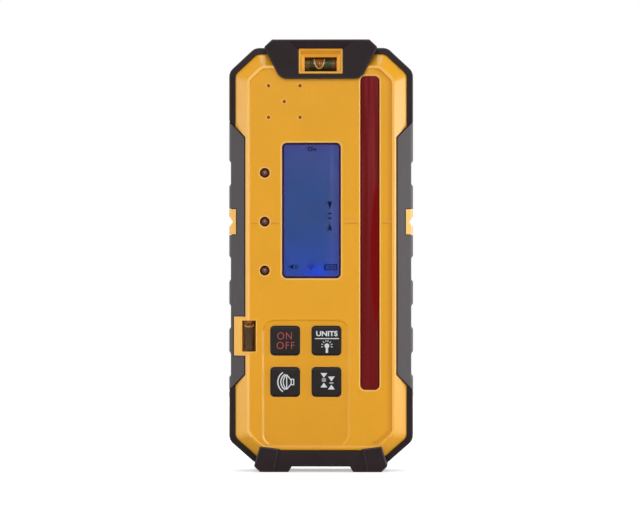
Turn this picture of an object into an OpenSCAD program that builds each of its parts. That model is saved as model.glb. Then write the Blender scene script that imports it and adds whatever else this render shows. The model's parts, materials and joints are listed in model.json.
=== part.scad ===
// Hand-held laser receiver, built as separate pieces.
// The front faces -Y, up is +Z, the feet stand on z = 0 and the box is centred in x and y.
// Lengths are in millimetres.

/* [Housing] */
// Width over the side grips
body_w = 73.6; // [71:0.2:80]
// Height of the housing, without feet and cap
body_h = 166.6; // [160:0.2:185]
// Width taken off each corner
corner_w = 11.3; // [9.5:0.1:13]
// Height taken off each corner
corner_h = 10.5; // [9:0.1:12]
// Rounding of the outline's corners
corner_r = 4; // [3:0.1:5]
// Wall of both covers
wall = 2.2; // [1.9:0.1:2.6]
// Width of the sloped band round each cover
bevel_w = 4; // [3.6:0.1:4.4]
// Width of the rim's flat top
crest_w = 1; // [0.6:0.1:1.4]
// Width of the rim's slope down to the panel
slope_w = 0.7; // [0.4:0.1:1]
// Depth of the front panel below the rim
panel_drop = 0.6; // [0.4:0.1:0.9]
// Rounding of the front panel's corners
panel_r = 6.5; // [4:0.5:10]

/* [Bumpers and grips] */
// Thickness of the bumper round the housing
bumper_t = 2.4; // [2:0.1:2.8]
// Depth of the bumper from front to back
bumper_d = 17.2; // [15:0.2:19]
// Width of a grip's front face
grip_w = 6.4; // [6:0.1:7]
// Thickness of a grip at its inner edge
grip_edge_t = 1; // [0.8:0.1:1.3]
// Distance of a grip from each end of the housing
grip_end = 29.8; // [26:0.2:34]
// Slant of a grip's ends
grip_slant = 5.8; // [4:0.2:7]
// Spacing of the finger scallops
scallop_pitch = 19.1; // [17:0.1:22]
// Length of a finger scallop
scallop_l = 9.6; // [7:0.1:12]
// Depth of a finger scallop
scallop_d = 0.7; // [0.4:0.1:1]
// Height of the grade mark lugs
lug_h = 10; // [9:0.2:12]
// Width of the grade mark lugs
lug_w = 2.8; // [2.5:0.1:3.2]
// Height of the notch in a lug
notch_h = 4.4; // [3:0.2:6]
// Depth of the notch in a lug
notch_d = 1.6; // [1:0.1:2]

/* [Top cap] */
// Height of the cap above the housing
cap_rise = 3.1; // [2:0.1:4]
// Height of the cap down over the front
cap_drop = 12.6; // [12:0.1:14]
// Width of the cap's top edge
cap_top_w = 38.8; // [34:0.2:42]
// Width of the cap at its shoulders
cap_shoulder_w = 45.4; // [43:0.2:48]
// Width of the cap's lower edge
cap_low_w = 28.8; // [26:0.2:31]
// Rounding of the cap's lower corners
cap_r = 3.2; // [2:0.1:4]
// How far cap and feet stand out in front of the rim
front_proud = 1.6; // [1.4:0.1:2]
// How far cap and feet stand out behind the back
back_proud = 0.7; // [0.5:0.1:1.2]

/* [Feet] */
// Height of the feet below the housing
foot_h = 2.9; // [2.4:0.1:4]
// Height of the gap between the feet
foot_gap_h = 2.1; // [1.6:0.1:2.4]
// Width of the gap between the feet
foot_gap_w = 25.2; // [20:0.2:30]
// Width over the feet where they stand
foot_stand_w = 48.4; // [44:0.2:51]
// Greatest width over the feet
foot_w = 53.4; // [51:0.2:56]
// Width over the feet at their top
foot_top_w = 48.6; // [45:0.2:51]
// Height of the feet's blocks
foot_block_h = 10.3; // [9.8:0.1:11]
// Height of the band between the blocks
foot_band_h = 8.6; // [7.6:0.1:9]
// Width of the band between the blocks
foot_band_w = 33.2; // [28:0.2:36]
// Depth of the band behind the blocks
foot_band_d = 0.9; // [0.5:0.1:1.2]

/* [Vials] */
// Width of the top vial's holder
holder_w = 17.6; // [17:0.2:20]
// Height of the top vial's holder
holder_h = 10; // [9.6:0.1:11]
// Diameter of the top vial
vial_d = 6.4; // [6:0.1:7]
// Length of the top vial
vial_l = 15.2; // [14:0.1:15.6]
// Diameter of the side vial
side_vial_d = 5.2; // [4.6:0.1:5.4]
// Length of the side vial
side_vial_l = 13.6; // [13:0.1:15]
// Wall of both vials
vial_wall = 0.8; // [0.6:0.1:1]
// Height of the side vial's window
side_window_h = 12.4; // [11:0.1:12.8]
// Width of the side vial's window
side_window_w = 5.6; // [5:0.1:5.8]

/* [Display and laser window] */
// Width of the display lens
lens_w = 23.3; // [20:0.1:25]
// Height of the display lens
lens_h = 53.9; // [48:0.1:58]
// Thickness of the display lens and the laser window
lens_t = 1.2; // [1:0.1:1.4]
// Rounding of the lens corners
lens_r = 1.8; // [1:0.1:2.5]
// Width of the laser window
laser_w = 7.8; // [6.5:0.1:8.4]
// Distance of the laser window from the housing's top
laser_top_gap = 11.6; // [11:0.1:14]
// Distance of the laser window from the housing's bottom
laser_low_gap = 30; // [28:0.1:36]
// Distance of the laser window from the panel's edge
laser_side_gap = 5.3; // [5:0.1:6.5]
// Spacing of the photodiodes
diode_pitch = 6.2; // [5.6:0.1:8]

/* [Keys] */
// Width and height of a key
key_w = 11.8; // [10:0.1:13]
// Spacing of the keys
key_pitch = 16.5; // [16:0.1:17.5]
// Travel of a key
key_travel = 0.8; // [0.5:0.1:1]
// How far a key stands out of its recess
key_proud = 1; // [0.7:0.1:1.4]
// Depth of the keypad recess
recess_d = 0.6; // [0.4:0.1:0.8]
// Height of the lower keys above the recess's lower edge
key_low = 24.7; // [22:0.1:28]

/* [Lights and sounder] */
// Diameter of an indicator light
led_d = 3.4; // [2.4:0.1:3.6]
// Diameter of the hole round an indicator light
led_hole_d = 3.9; // [3.5:0.1:4]
// Spacing of the indicator lights
led_pitch = 19.5; // [17:0.1:21]
// Diameter of the sounder
sounder_d = 17; // [14:0.1:17.6]
// Spacing of the sounder's holes
sounder_pitch = 6.3; // [5:0.1:6.5]
// Diameter of the sounder's holes
sounder_hole_d = 1; // [0.8:0.1:1.4]

/* [Batteries and door] */
// Diameter of a cell
cell_d = 14.5; // [13.5:0.1:14.8]
// Length of a cell with its button
cell_l = 50.5; // [48:0.1:51]
// Length of a contact spring
spring_l = 5.4; // [5.2:0.1:7]
// Thickness of the battery door
door_t = 2.2; // [2:0.1:2.6]
// Radius of the door's hinge barrels
barrel_r = 2; // [1.8:0.1:2.2]
// Diameter of the hinge pin
pin_d = 2; // [1.6:0.1:2.2]

/* [Fasteners] */
// Diameter of a cover screw
screw_d = 2.5; // [2.2:0.1:2.8]
// Diameter of a cover screw's head
screw_head_d = 4.6; // [4.2:0.1:5]
// Diameter of a board screw
board_screw_d = 1.8; // [1.6:0.1:2]
// Diameter of the clamp thread, inside the thread
clamp_d = 5.1; // [4.6:0.1:6]
// Length of the clamp insert
insert_l = 9; // [8:0.1:10]

/* [Hidden] */
$fn = 48;

// Clearances and overruns
overrun = 1;
fit_gap = 0.1;
thin_gap = 0.03;
run_gap = 0.05;
key_gap = 0.3;
corner_steps = 5;

// Depth stack, from the rim at the front to the back
pad_t = 0.6;
glass_gap = 0.2;
glass_t = 2;
backlight_t = 2.2;
board_t = 1.4;
tub_gap = 0.4;
tub_floor_t = 1.2;
cell_gap = 0.3;
case_d = panel_drop + wall + pad_t + glass_gap + glass_t + backlight_t + board_t
  + tub_gap + tub_floor_t + cell_gap + cell_d + cell_gap + door_t;
overall_d = front_proud + case_d + back_proud;
front_y = -overall_d / 2;
rear_y = overall_d / 2;
crest_y = front_y + front_proud;
back_y = crest_y + case_d;
panel_y = crest_y + panel_drop;
panel_in_y = panel_y + wall;
pad_in_y = panel_in_y + pad_t;
glass_y = pad_in_y + glass_gap;
board_y = glass_y + glass_t + backlight_t;
board_back_y = board_y + board_t;
tub_y = board_back_y + tub_gap;
tub_in_y = tub_y + tub_floor_t;
cell_y = tub_in_y + cell_gap + cell_d / 2;
door_in_y = back_y - door_t;
bumper_y = bumper_d / 2;

// Heights and widths of the housing
half_w = body_w / 2;
body_low = foot_h;
body_top = foot_h + body_h;
crest_in = bumper_t + bevel_w;
panel_in = crest_in + crest_w + slope_w;
panel_x = half_w - panel_in;
panel_low = body_low + panel_in;
inner_r = 1.2;
housing = [[corner_w - half_w, body_low], [half_w - corner_w, body_low],
  [half_w, body_low + corner_h], [half_w, body_top - corner_h],
  [half_w - corner_w, body_top], [corner_w - half_w, body_top],
  [-half_w, body_top - corner_h], [-half_w, body_low + corner_h]];

// Laser window
laser_x = panel_x - laser_side_gap - laser_w / 2;
laser_low = body_low + laser_low_gap;
laser_top = body_top - laser_top_gap;
laser_h = laser_top - laser_low;
laser_z = (laser_top + laser_low) / 2;
laser_left = laser_x - laser_w / 2;

// Keypad
recess_side_gap = 5.5;
recess_laser_gap = 4.4;
recess_low_gap = 0.2;
recess_top_gap = 2.5;
recess_slope = 0.4;
recess_r = 4;
key_r = 1.6;
recess_left = recess_side_gap - panel_x;
recess_right = laser_left - recess_laser_gap;
recess_x = (recess_left + recess_right) / 2;
recess_low = panel_low + recess_low_gap;
key_mid_z = recess_low + key_low + key_pitch / 2;
key_top_z = key_mid_z + key_pitch / 2;
recess_top = key_top_z + key_w / 2 + recess_top_gap;
recess_y = panel_y + recess_d;
key_y = recess_y - key_proud;

// Cap, sounder, display and grade line
cap_top = body_top + cap_rise;
cap_low = body_top - cap_drop;
sounder_side_gap = 14.1;
sounder_drop = 9;
sounder_x = sounder_side_gap - panel_x;
sounder_z = cap_low - sounder_drop;
led_side_gap = 6.3;
led_x = led_side_gap - panel_x;
lens_x_share = 0.491;
lens_z_share = 0.67;
grade_share = 0.417;
lens_x = led_x + lens_x_share * (laser_left - led_x);
lens_low = recess_top + lens_z_share * (sounder_z - sounder_d / 2 - recess_top - lens_h);
lens_z = lens_low + lens_h / 2;
grade_z = lens_low + grade_share * lens_h;

// Grips
grip_drop = 0.1;
grip_shoulder = 8.6;
grip_seat = 0.8;
grip_low = body_low + grip_end;
grip_high = body_top - grip_end;
scallop_ramp = 0.8;
grip_in_x = half_w - grip_w;
seat_y = bumper_y - grip_seat;
grip_section = [[grip_in_x, crest_y + grip_drop], [half_w, -grip_shoulder], [half_w, grip_shoulder],
  [grip_in_x, back_y - grip_drop], [grip_in_x, back_y - grip_drop - grip_edge_t],
  [half_w - bumper_t, seat_y], [half_w - bumper_t, -seat_y],
  [grip_in_x, crest_y + grip_drop + grip_edge_t]];
grip_edge_r = 0.3;
grip_side_r = 2.4;
grip_inner_r = 0.6;
grip_radii = [grip_edge_r, grip_side_r, grip_side_r, grip_edge_r,
  grip_edge_r, grip_inner_r, grip_inner_r, grip_edge_r];

// Side vial, in a tab that fills a gap in the left grip
side_vial_x = -panel_x;
side_vial_rise = 1.8;
side_vial_z = key_top_z + side_vial_rise;
side_vial_sink = 1;
side_vial_y = crest_y + side_vial_sink + side_vial_d / 2;
side_block_wall = 1;
retainer_t = 0.8;
retainer_y = side_vial_y + side_vial_d / 2 + fit_gap;
tab_h = 15.6;
tab_in = 2;
window_r = 0.8;

// Top vial and its holder
holder_sill = 2;
holder_sink = 0.4;
holder_funnel = 1.2;
holder_front_t = 0.4;
holder_lip = 0.8;
view_w = 12.8;
view_h = 5.7;
view_rise = 0.9;
holder_low = cap_low + holder_sill;
holder_top = holder_low + holder_h;
holder_z = (holder_low + holder_top) / 2;
holder_y = front_y + holder_sink;
funnel_y = holder_y + holder_funnel;
view_z = holder_low + view_rise + view_h / 2;
vial_y = funnel_y + holder_front_t + vial_d / 2;
holder_back_y = vial_y + vial_d / 2 + fit_gap;
hood_w = 24.8;
hood_d = 0.7;
cap_edge_r = 0.8;

// Bottom bumper
foot_side_h = 2.4;
foot_band_slant = 2;
foot_gap_slant = 1.7;
foot_block_fall = 1.1;
foot_edge = 0.6;

// Lens and window pockets
tape_t = 0.2;
lens_sink = 0.2;
ledge_w = 1.2;
pocket_y = panel_y + lens_sink + lens_t + tape_t;
pad_rim = 2;

// Detector board behind the laser window
diode_gap = 0.2;
diode_t = 1.2;
diode_w = 5;
diode_h = 4.6;
detector_t = 1;
detector_w = 8.4;
detector_over = 1.5;
header_w = 5;
header_h = 8;
diode_y = pad_in_y + diode_gap;
detector_y = diode_y + diode_t;

// Screws, bosses and the main board
screw_edge = 3.8;
screw_end = 19.2;
screw_x = grip_in_x - screw_edge;
screw_zs = [body_low + screw_end, body_top - screw_end];
boss_wall = 1.35;
boss_r = screw_d / 2 + boss_wall;
screw_sink = 4;
screw_head_t = 2;
screw_bite = 7.4;
screw_tip_y = -screw_bite;
cross_w = 0.7;
cross_d = 0.9;
board_side_gap = 3.4;
board_end_gap = 1;
board_notch_gap = 0.4;
board_half = panel_x - board_side_gap;
board_low = body_low + bumper_t + wall + board_end_gap;
board_top = holder_low - fit_gap - wall - board_end_gap;
board_screw_l = 4;
board_head_d = 3.6;
board_head_t = 1.2;
standoff_r = 2.4;
standoff_side = 4.6;
standoff_low = 8.4;
standoffs = [[standoff_side - board_half, recess_low + standoff_low],
  [board_half - standoff_side, recess_low + standoff_low],
  [standoff_side - board_half, (recess_top + lens_low) / 2],
  [(sounder_x + sounder_d / 2 + laser_x - detector_w / 2) / 2, sounder_z]];

// Battery bay, door and hinge
contact_t = 0.4;
contact_w = 9;
contact_d = 10;
tab_w = 3;
cell_mid_gap = 0.4;
cell_x = (cell_d + cell_mid_gap) / 2;
button_d = 5.4;
button_h = 1;
tub_wall = 1.5;
ledge_t = 1.6;
door_ledge = 3;
door_gap = 0.3;
door_low_gap = 9.6;
door_r = 2;
hinge_gap = 0.5;
hinge_half = 17;
barrel_w = 7;
barrel_x = 8.5;
ear_gap = 0.3;
trough_r = barrel_r + hinge_gap;
hinge_y = back_y - barrel_r;
hinge_z = body_low + door_low_gap + trough_r;
tub_half = cell_x + cell_d / 2 + cell_gap;
tub_low = hinge_z + trough_r + door_ledge;
tub_h = cell_l + spring_l + 2 * contact_t;
tub_top = tub_low + tub_h;
tub_z = (tub_low + tub_top) / 2;
door_half = tub_half + door_ledge;
door_top = tub_top + door_ledge;
seal_w = 1.2;
seal_t = 0.8;
nib_w = 8;
nib_h = 0.5;
nib_t = 0.8;
scoop_r = 5.5;
scoop_d = 1.1;
grip_rib_count = 5;
grip_rib_w = 16;
grip_rib_h = 1;
grip_rib_d = 0.5;
grip_rib_pitch = 2.4;

// Clamp seat and insert
clamp_seat_w = 24;
clamp_seat_h = 26;
clamp_seat_r = 3;
clamp_seat_d = 0.8;
clamp_seat_gap = 6.4;
clamp_z = door_top + clamp_seat_gap + clamp_seat_h / 2;
clamp_y = back_y - clamp_seat_d;
insert_wall = 2;
insert_r = clamp_d / 2 + insert_wall;
insert_floor = 1;
insert_boss_wall = 2;
insert_groove = 0.4;
insert_groove_l = 1.6;

// Gasket between the covers
gasket_w = 1;
gasket_t = 1;

// Direction of a line
function unit(v) = v / norm(v);
// Normal that points into an outline which runs anticlockwise
function inward(v) = [-v.y, v.x];
// Direction of an outline's side, counted round
function side(p, i) = unit(p[(i + 1) % len(p)] - p[i % len(p)]);
// The outline moved inwards by d
function inset(p, d) = [for (i = [0:len(p) - 1])
  let (a = inward(side(p, i + len(p) - 1)), b = inward(side(p, i)))
  p[i] + d * (a + b) / (1 + a * b)];
// The outline with an arc at each corner, r being one radius or one for each corner
function rounded(p, r) = [for (i = [0:len(p) - 1])
  let (u = side(p, i + len(p) - 1), v = side(p, i), a = inward(u), b = inward(v),
    q = (is_list(r) ? r[i] : r) * sign(u.x * v.y - u.y * v.x),
    c = p[i] + q * (a + b) / (1 + a * b))
  for (k = [0:corner_steps]) c - q * unit(a * (corner_steps - k) + b * k)];
// A rectangle about a centre, plain or with round corners
function rect(x, z, w, h) = [[x - w / 2, z - h / 2], [x + w / 2, z - h / 2],
  [x + w / 2, z + h / 2], [x - w / 2, z + h / 2]];
function pad(x, z, w, h, r) = rounded(rect(x, z, w, h), r);
// The housing's outline at a distance inside the bumper's outer face
function outline(d) = rounded(inset(housing, d), max(corner_r - d, inner_r));
// The panel's outline
function panel_outline(d) = rounded(inset(housing, d), panel_r);

// Solid between outlines of as many points each, one at each depth from front to back
module loft(ys, rings) {
  n = len(rings[0]);
  m = len(rings);
  polyhedron(
    points = [for (j = [0:m - 1]) for (p = rings[j]) [p.x, ys[j], p.y]],
    faces = concat(
      [[for (i = [n - 1:-1:0]) i]],
      [[for (i = [0:n - 1]) (m - 1) * n + i]],
      [for (j = [0:m - 2]) for (i = [0:n - 1])
        [j * n + i, j * n + (i + 1) % n, (j + 1) * n + (i + 1) % n]],
      [for (j = [0:m - 2]) for (i = [0:n - 1])
        [j * n + i, (j + 1) * n + (i + 1) % n, (j + 1) * n + i]]));
}
// Front-view outline made thick between two depths
module slab(front, back) {
  translate([0, back, 0]) rotate([90, 0, 0]) linear_extrude(back - front) children();
}
// Box between two limits in each direction
module block(x, y, z) {
  translate([x[0], y[0], z[0]]) cube([x[1] - x[0], y[1] - y[0], z[1] - z[0]]);
}
// Round bars along the three directions
module bar_x(x, y, z, r) {
  translate([x[0], y, z]) rotate([0, 90, 0]) cylinder(h = x[1] - x[0], r = r);
}
module bar_y(x, y, z, r) {
  translate([x, y[1], z]) rotate([90, 0, 0]) cylinder(h = y[1] - y[0], r = r);
}
module bar_z(x, y, z, r) {
  translate([x, y, z[0]]) cylinder(h = z[1] - z[0], r = r);
}
// A piece and its mirror image
module both_sides() {
  children();
  mirror([1, 0, 0]) children();
}
module cover_yellow() { color("#e4a330") children(); }
module rubber_black() { color("#2e2a2b") children(); }
module board_green() { color("#1d6b3a") children(); }
module bright_metal() { color("#c9c9c4") children(); }

// Outer shapes of the covers and the bumper
module front_block() {
  loft([crest_y, -bumper_y, 0], [outline(crest_in), outline(bumper_t), outline(bumper_t)]);
}
module front_skin() {
  difference() {
    front_block();
    loft([crest_y - overrun, crest_y, panel_y],
      [panel_outline(panel_in - slope_w), panel_outline(panel_in - slope_w), panel_outline(panel_in)]);
  }
}
module rear_skin() {
  loft([0, bumper_y, back_y], [outline(bumper_t), outline(bumper_t), outline(crest_in)]);
}
module bumper_ring() {
  slab(-bumper_y, bumper_y) difference() {
    polygon(outline(0));
    polygon(outline(bumper_t));
  }
}
// Inset of a cover's inner face, at a depth on its sloped band
function slope_in(y, face) = bumper_t
  + (y - bumper_y) * bevel_w / (face - bumper_y)
  + wall * norm([bevel_w, face - bumper_y]) / (face - bumper_y);
// Depth at which that inner face meets the straight side wall
function slope_end(face) = bumper_y
  - (norm([bevel_w, face - bumper_y]) - (face - bumper_y)) * wall / bevel_w;

// Grips: a section along the side, limited in the front view
function grip_rise(x) = (half_w - x) * grip_slant / grip_w;
module grip_band() {
  translate([0, 0, grip_low - overrun])
    linear_extrude(grip_high - grip_low + 2 * overrun)
      polygon(rounded(grip_section, grip_radii));
}
module grip_zone() {
  near = grip_in_x - overrun;
  far = half_w + overrun;
  slab(front_y, rear_y) polygon([[near, grip_low + grip_rise(near)], [far, grip_low + grip_rise(far)],
    [far, grip_high - grip_rise(far)], [near, grip_high - grip_rise(near)]]);
}
module scallop(z) {
  deep = half_w - scallop_d;
  far = half_w + scallop_d;
  inner = scallop_l / 2 - scallop_ramp;
  outer = scallop_l / 2 + scallop_ramp;
  slab(front_y, rear_y) polygon([[deep, z - inner], [far, z - outer], [far, z + outer], [deep, z + inner]]);
}
module lug_zone(gap) {
  slab(front_y, rear_y)
    polygon(rect(half_w + (overrun - lug_w - gap) / 2, grade_z, lug_w + gap + overrun, lug_h + 2 * gap));
}
module lug() {
  flare = notch_h * (notch_d + overrun) / notch_d / 2;
  difference() {
    intersection() {
      grip_band();
      lug_zone(0);
    }
    slab(front_y - overrun, rear_y + overrun) polygon([[half_w - notch_d, grade_z],
      [half_w + overrun, grade_z - flare], [half_w + overrun, grade_z + flare]]);
  }
}
module grip_form() {
  difference() {
    intersection() {
      grip_band();
      grip_zone();
    }
    for (k = [-3, -2, -1, 1]) scallop(grade_z + k * scallop_pitch);
    lug_zone(fit_gap);
  }
}
module tab_zone(gap) {
  block([tab_in - half_w - gap, -grip_in_x + overrun], [front_y, 0],
    [side_vial_z - tab_h / 2 - gap, side_vial_z + tab_h / 2 + gap]);
}
module right_grip_form() { grip_form(); }
module left_grip_form() {
  difference() {
    mirror([1, 0, 0]) grip_form();
    tab_zone(fit_gap);
  }
}

// Front cover
module front_hollow() {
  s = -panel_in_y;
  t = slope_end(-crest_y);
  loft([panel_in_y, -t, overrun],
    [outline(slope_in(s, -crest_y)), outline(bumper_t + wall), outline(bumper_t + wall)]);
}
module vial_blocks() {
  top_x = holder_w / 2 + fit_gap + wall;
  side_r = side_vial_d / 2 + fit_gap + side_block_wall;
  side_z = side_vial_l / 2 + fit_gap + side_block_wall;
  root_y = panel_y + wall / 2;
  block([-top_x, top_x], [root_y, holder_back_y + fit_gap + wall], [holder_low - fit_gap - wall, body_top]);
  block([side_vial_x - side_r, side_vial_x + side_r], [root_y, retainer_y + retainer_t],
    [side_vial_z - side_z, side_vial_z + side_z]);
}
module front_posts() {
  root_y = panel_y + wall / 2;
  both_sides() for (z = screw_zs) bar_y(screw_x, [root_y, 0], z, boss_r);
  for (p = standoffs) bar_y(p.x, [root_y, board_y], p.y, standoff_r);
  slab(root_y, pad_in_y) polygon(rect(lens_x, lens_z, lens_w + 2 * pad_rim, lens_h + 2 * pad_rim));
  slab(root_y, pad_in_y) polygon(rect(laser_x, laser_z, laser_w + pad_rim, laser_h + pad_rim));
}
rib_h = 0.8;
rib_d = 0.2;
rib_gap = 0.5;
module grade_rib(from, to) {
  block([from, to], [panel_y - rib_d, panel_y + wall / 2], [grade_z - rib_h / 2, grade_z + rib_h / 2]);
}
module key_cut(gap, front, back) {
  for (p = key_places) slab(front, back)
    polygon(pad(p.x, p.y, key_w + 2 * gap, key_w + 2 * gap, key_r + gap));
}
key_places = [for (v = [1, -1]) for (h = [-1, 1])
  [recess_x + h * key_pitch / 2, key_mid_z + v * key_pitch / 2]];
module window_cut(x, z, w, h) {
  slab(panel_y - overrun, pocket_y) polygon(pad(x, z, w + 2 * fit_gap, h + 2 * fit_gap, lens_r + fit_gap));
  slab(pocket_y - overrun, pad_in_y + overrun)
    polygon(pad(x, z, w - 2 * ledge_w, h - 2 * ledge_w, lens_r - ledge_w / 2));
}
module sounder_holes() {
  for (d = [[0, 0], [1, 1], [1, -1], [-1, 1], [-1, -1]])
    bar_y(sounder_x + d.x * sounder_pitch, [panel_y - overrun, panel_in_y + overrun],
      sounder_z + d.y * sounder_pitch, sounder_hole_d / 2);
}
module front_cuts() {
  recess_w = recess_right - recess_left;
  recess_h = recess_top - recess_low;
  recess_z = (recess_top + recess_low) / 2;
  wide = pad(recess_x, recess_z, recess_w, recess_h, recess_r);
  narrow = pad(recess_x, recess_z, recess_w - 2 * recess_slope, recess_h - 2 * recess_slope,
    recess_r - recess_slope);
  loft([panel_y - overrun, panel_y, recess_y], [wide, wide, narrow]);
  key_cut(key_gap, recess_y - overrun, panel_in_y + overrun);
  window_cut(lens_x, lens_z, lens_w, lens_h);
  window_cut(laser_x, laser_z, laser_w, laser_h);
  for (k = [-1:1])
    bar_y(led_x, [panel_y - overrun, panel_in_y + overrun], grade_z + k * led_pitch, led_hole_d / 2);
  sounder_holes();
  both_sides() for (z = screw_zs)
    bar_y(screw_x, [screw_tip_y - fit_gap, overrun], z, screw_d / 2 + run_gap);
  for (p = standoffs)
    bar_y(p.x, [board_y - board_screw_l - fit_gap, board_y + overrun], p.y, board_screw_d / 2 + run_gap);
}
module vial_cuts() {
  top_x = holder_w / 2 + fit_gap;
  side_r = side_vial_d / 2 + fit_gap;
  side_z = side_vial_l / 2 + fit_gap;
  block([-top_x, top_x], [front_y, holder_back_y + fit_gap], [holder_low - fit_gap, body_top]);
  bar_z(side_vial_x, side_vial_y, [side_vial_z - side_z, side_vial_z + side_z], side_r);
  block([side_vial_x - side_r, side_vial_x + side_r], [side_vial_y, retainer_y + retainer_t + overrun],
    [side_vial_z - side_z, side_vial_z + side_z]);
  slab(front_y, side_vial_y) polygon(pad(side_vial_x, side_vial_z, side_window_w, side_window_h, window_r));
}
module front_cover() {
  cover_yellow() difference() {
    union() {
      difference() {
        front_skin();
        front_hollow();
      }
      intersection() {
        front_block();
        vial_blocks();
      }
      front_posts();
      grade_rib(crest_w + slope_w - panel_x, led_x - rib_gap - led_hole_d / 2);
      grade_rib(led_x + rib_gap + led_hole_d / 2, lens_x - lens_w / 2 - rib_gap);
      grade_rib(lens_x + lens_w / 2 + rib_gap, laser_left - rib_gap);
      grade_rib(laser_x + laser_w / 2 + rib_gap, panel_x - slope_w);
      intersection() {
        both_sides() lug();
        block([-body_w, body_w], [front_y, 0], [0, cap_top]);
      }
      intersection() {
        mirror([1, 0, 0]) grip_band();
        tab_zone(0);
      }
    }
    front_cuts();
    vial_cuts();
    right_grip_form();
    left_grip_form();
  }
}

// Rear cover with the battery bay, the hinge ears and the clamp seat
module rear_hollow() {
  loft([-overrun, slope_end(back_y), back_y - wall],
    [outline(bumper_t + wall), outline(bumper_t + wall), outline(slope_in(back_y - wall, back_y))]);
}
module rear_posts() {
  root_y = back_y - wall / 2;
  ledge_y = door_in_y - ledge_t;
  both_sides() for (z = screw_zs) bar_y(screw_x, [0, root_y], z, boss_r);
  block([-tub_half - tub_wall, tub_half + tub_wall], [tub_y, root_y], [tub_low - tub_wall, tub_top + tub_wall]);
  block([-door_half - tub_wall, door_half + tub_wall], [ledge_y, root_y],
    [tub_low - tub_wall, door_top + tub_wall]);
  block([-hinge_half - tub_wall, hinge_half + tub_wall], [hinge_y - trough_r - tub_wall, root_y],
    [hinge_z - trough_r - tub_wall, tub_low]);
  bar_y(0, [clamp_y - insert_l - insert_floor, root_y], clamp_z, insert_r + insert_boss_wall);
}
module rear_cuts() {
  block([-tub_half, tub_half], [tub_in_y, back_y + overrun], [tub_low, tub_top]);
  slab(door_in_y, back_y + overrun) polygon(pad(0, (hinge_z + door_top) / 2, 2 * (door_half + door_gap),
    door_top - hinge_z + 2 * door_gap, door_r));
  block([-hinge_half, hinge_half], [hinge_y - trough_r, back_y + overrun],
    [hinge_z - trough_r, hinge_z + trough_r]);
  slab(door_in_y - seal_t, door_in_y + overrun) seal_outline();
  block([-nib_w / 2 - door_gap, nib_w / 2 + door_gap], [door_in_y, back_y + overrun],
    [door_top, door_top + door_gap + nib_h + door_gap]);
  bar_y(0, [back_y - scoop_d, back_y + overrun], door_top, scoop_r);
  both_sides() for (z = screw_zs) {
    bar_y(screw_x, [-overrun, back_y], z, screw_d / 2 + fit_gap);
    bar_y(screw_x, [back_y - screw_sink, back_y + overrun], z, screw_head_d / 2 + fit_gap);
  }
  slab(clamp_y, back_y + overrun) polygon(pad(0, clamp_z, clamp_seat_w, clamp_seat_h, clamp_seat_r));
  bar_y(0, [clamp_y - insert_l, back_y], clamp_z, insert_r + run_gap);
  both_sides() block([cell_x - tab_w / 2 - fit_gap, cell_x + tab_w / 2 + fit_gap],
    [tub_y - overrun, tub_in_y + overrun], [tub_top - contact_t - fit_gap, tub_top]);
  slab(-overrun, gasket_t) gasket_outline();
}
module hinge_ear(x) {
  difference() {
    union() {
      bar_x(x, hinge_y, hinge_z, barrel_r);
      block(x, [hinge_y - trough_r - tub_wall / 2, hinge_y], [hinge_z - barrel_r, hinge_z + barrel_r]);
    }
    bar_x([x[0] - overrun, x[1] + overrun], hinge_y, hinge_z, pin_d / 2 + thin_gap);
  }
}
module rear_cover() {
  ear_out = barrel_x + barrel_w / 2 + ear_gap;
  ear_mid = barrel_x - barrel_w / 2 - ear_gap;
  cover_yellow() union() {
    difference() {
      union() {
        difference() {
          rear_skin();
          rear_hollow();
        }
        rear_posts();
        intersection() {
          both_sides() lug();
          block([-body_w, body_w], [0, rear_y], [0, cap_top]);
        }
      }
      rear_cuts();
      right_grip_form();
      mirror([1, 0, 0]) grip_form();
    }
    hinge_ear([-hinge_half - tub_wall / 2, -ear_out]);
    hinge_ear([-ear_mid, ear_mid]);
    hinge_ear([ear_out, hinge_half + tub_wall / 2]);
  }
}
module gasket_outline() {
  mid = bumper_t + wall / 2;
  difference() {
    polygon(outline(mid - gasket_w / 2));
    polygon(outline(mid + gasket_w / 2));
  }
}
module cover_gasket() {
  color("#3a3a3a") slab(0, gasket_t) gasket_outline();
}

// Rubber bumpers and grips
module bumper_half(z) {
  rubber_black() difference() {
    intersection() {
      bumper_ring();
      block([-body_w, body_w], [front_y, rear_y], z);
    }
    both_sides() grip_zone();
  }
}
module upper_bumper() { bumper_half([grade_z, cap_top]); }
module lower_bumper() { bumper_half([0, grade_z]); }
module left_grip() { color("#6a6667") left_grip_form(); }
module right_grip() { color("#6a6667") right_grip_form(); }

// Black cap over the top edge, with a hood over the vial's window
module top_cap() {
  hood_top = cap_top - cap_edge_r;
  points = [[-cap_low_w / 2, cap_low], [cap_low_w / 2, cap_low], [cap_shoulder_w / 2, body_top],
    [cap_top_w / 2, cap_top], [-cap_top_w / 2, cap_top], [-cap_shoulder_w / 2, body_top]];
  radii = [cap_r, cap_r, cap_edge_r, cap_edge_r, cap_edge_r, cap_edge_r];
  rubber_black() difference() {
    slab(front_y, rear_y) polygon(rounded(points, radii));
    front_skin();
    rear_skin();
    bumper_ring();
    block([-holder_w / 2 - fit_gap, holder_w / 2 + fit_gap], [front_y - overrun, 0],
      [holder_low - fit_gap, holder_top + fit_gap]);
    hull() {
      block([-hood_w / 2, hood_w / 2], [front_y - overrun, front_y], [hood_top, hood_top + thin_gap]);
      block([-holder_w / 2, holder_w / 2], [front_y - overrun, front_y + hood_d],
        [holder_top, holder_top + thin_gap]);
    }
  }
}

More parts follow.
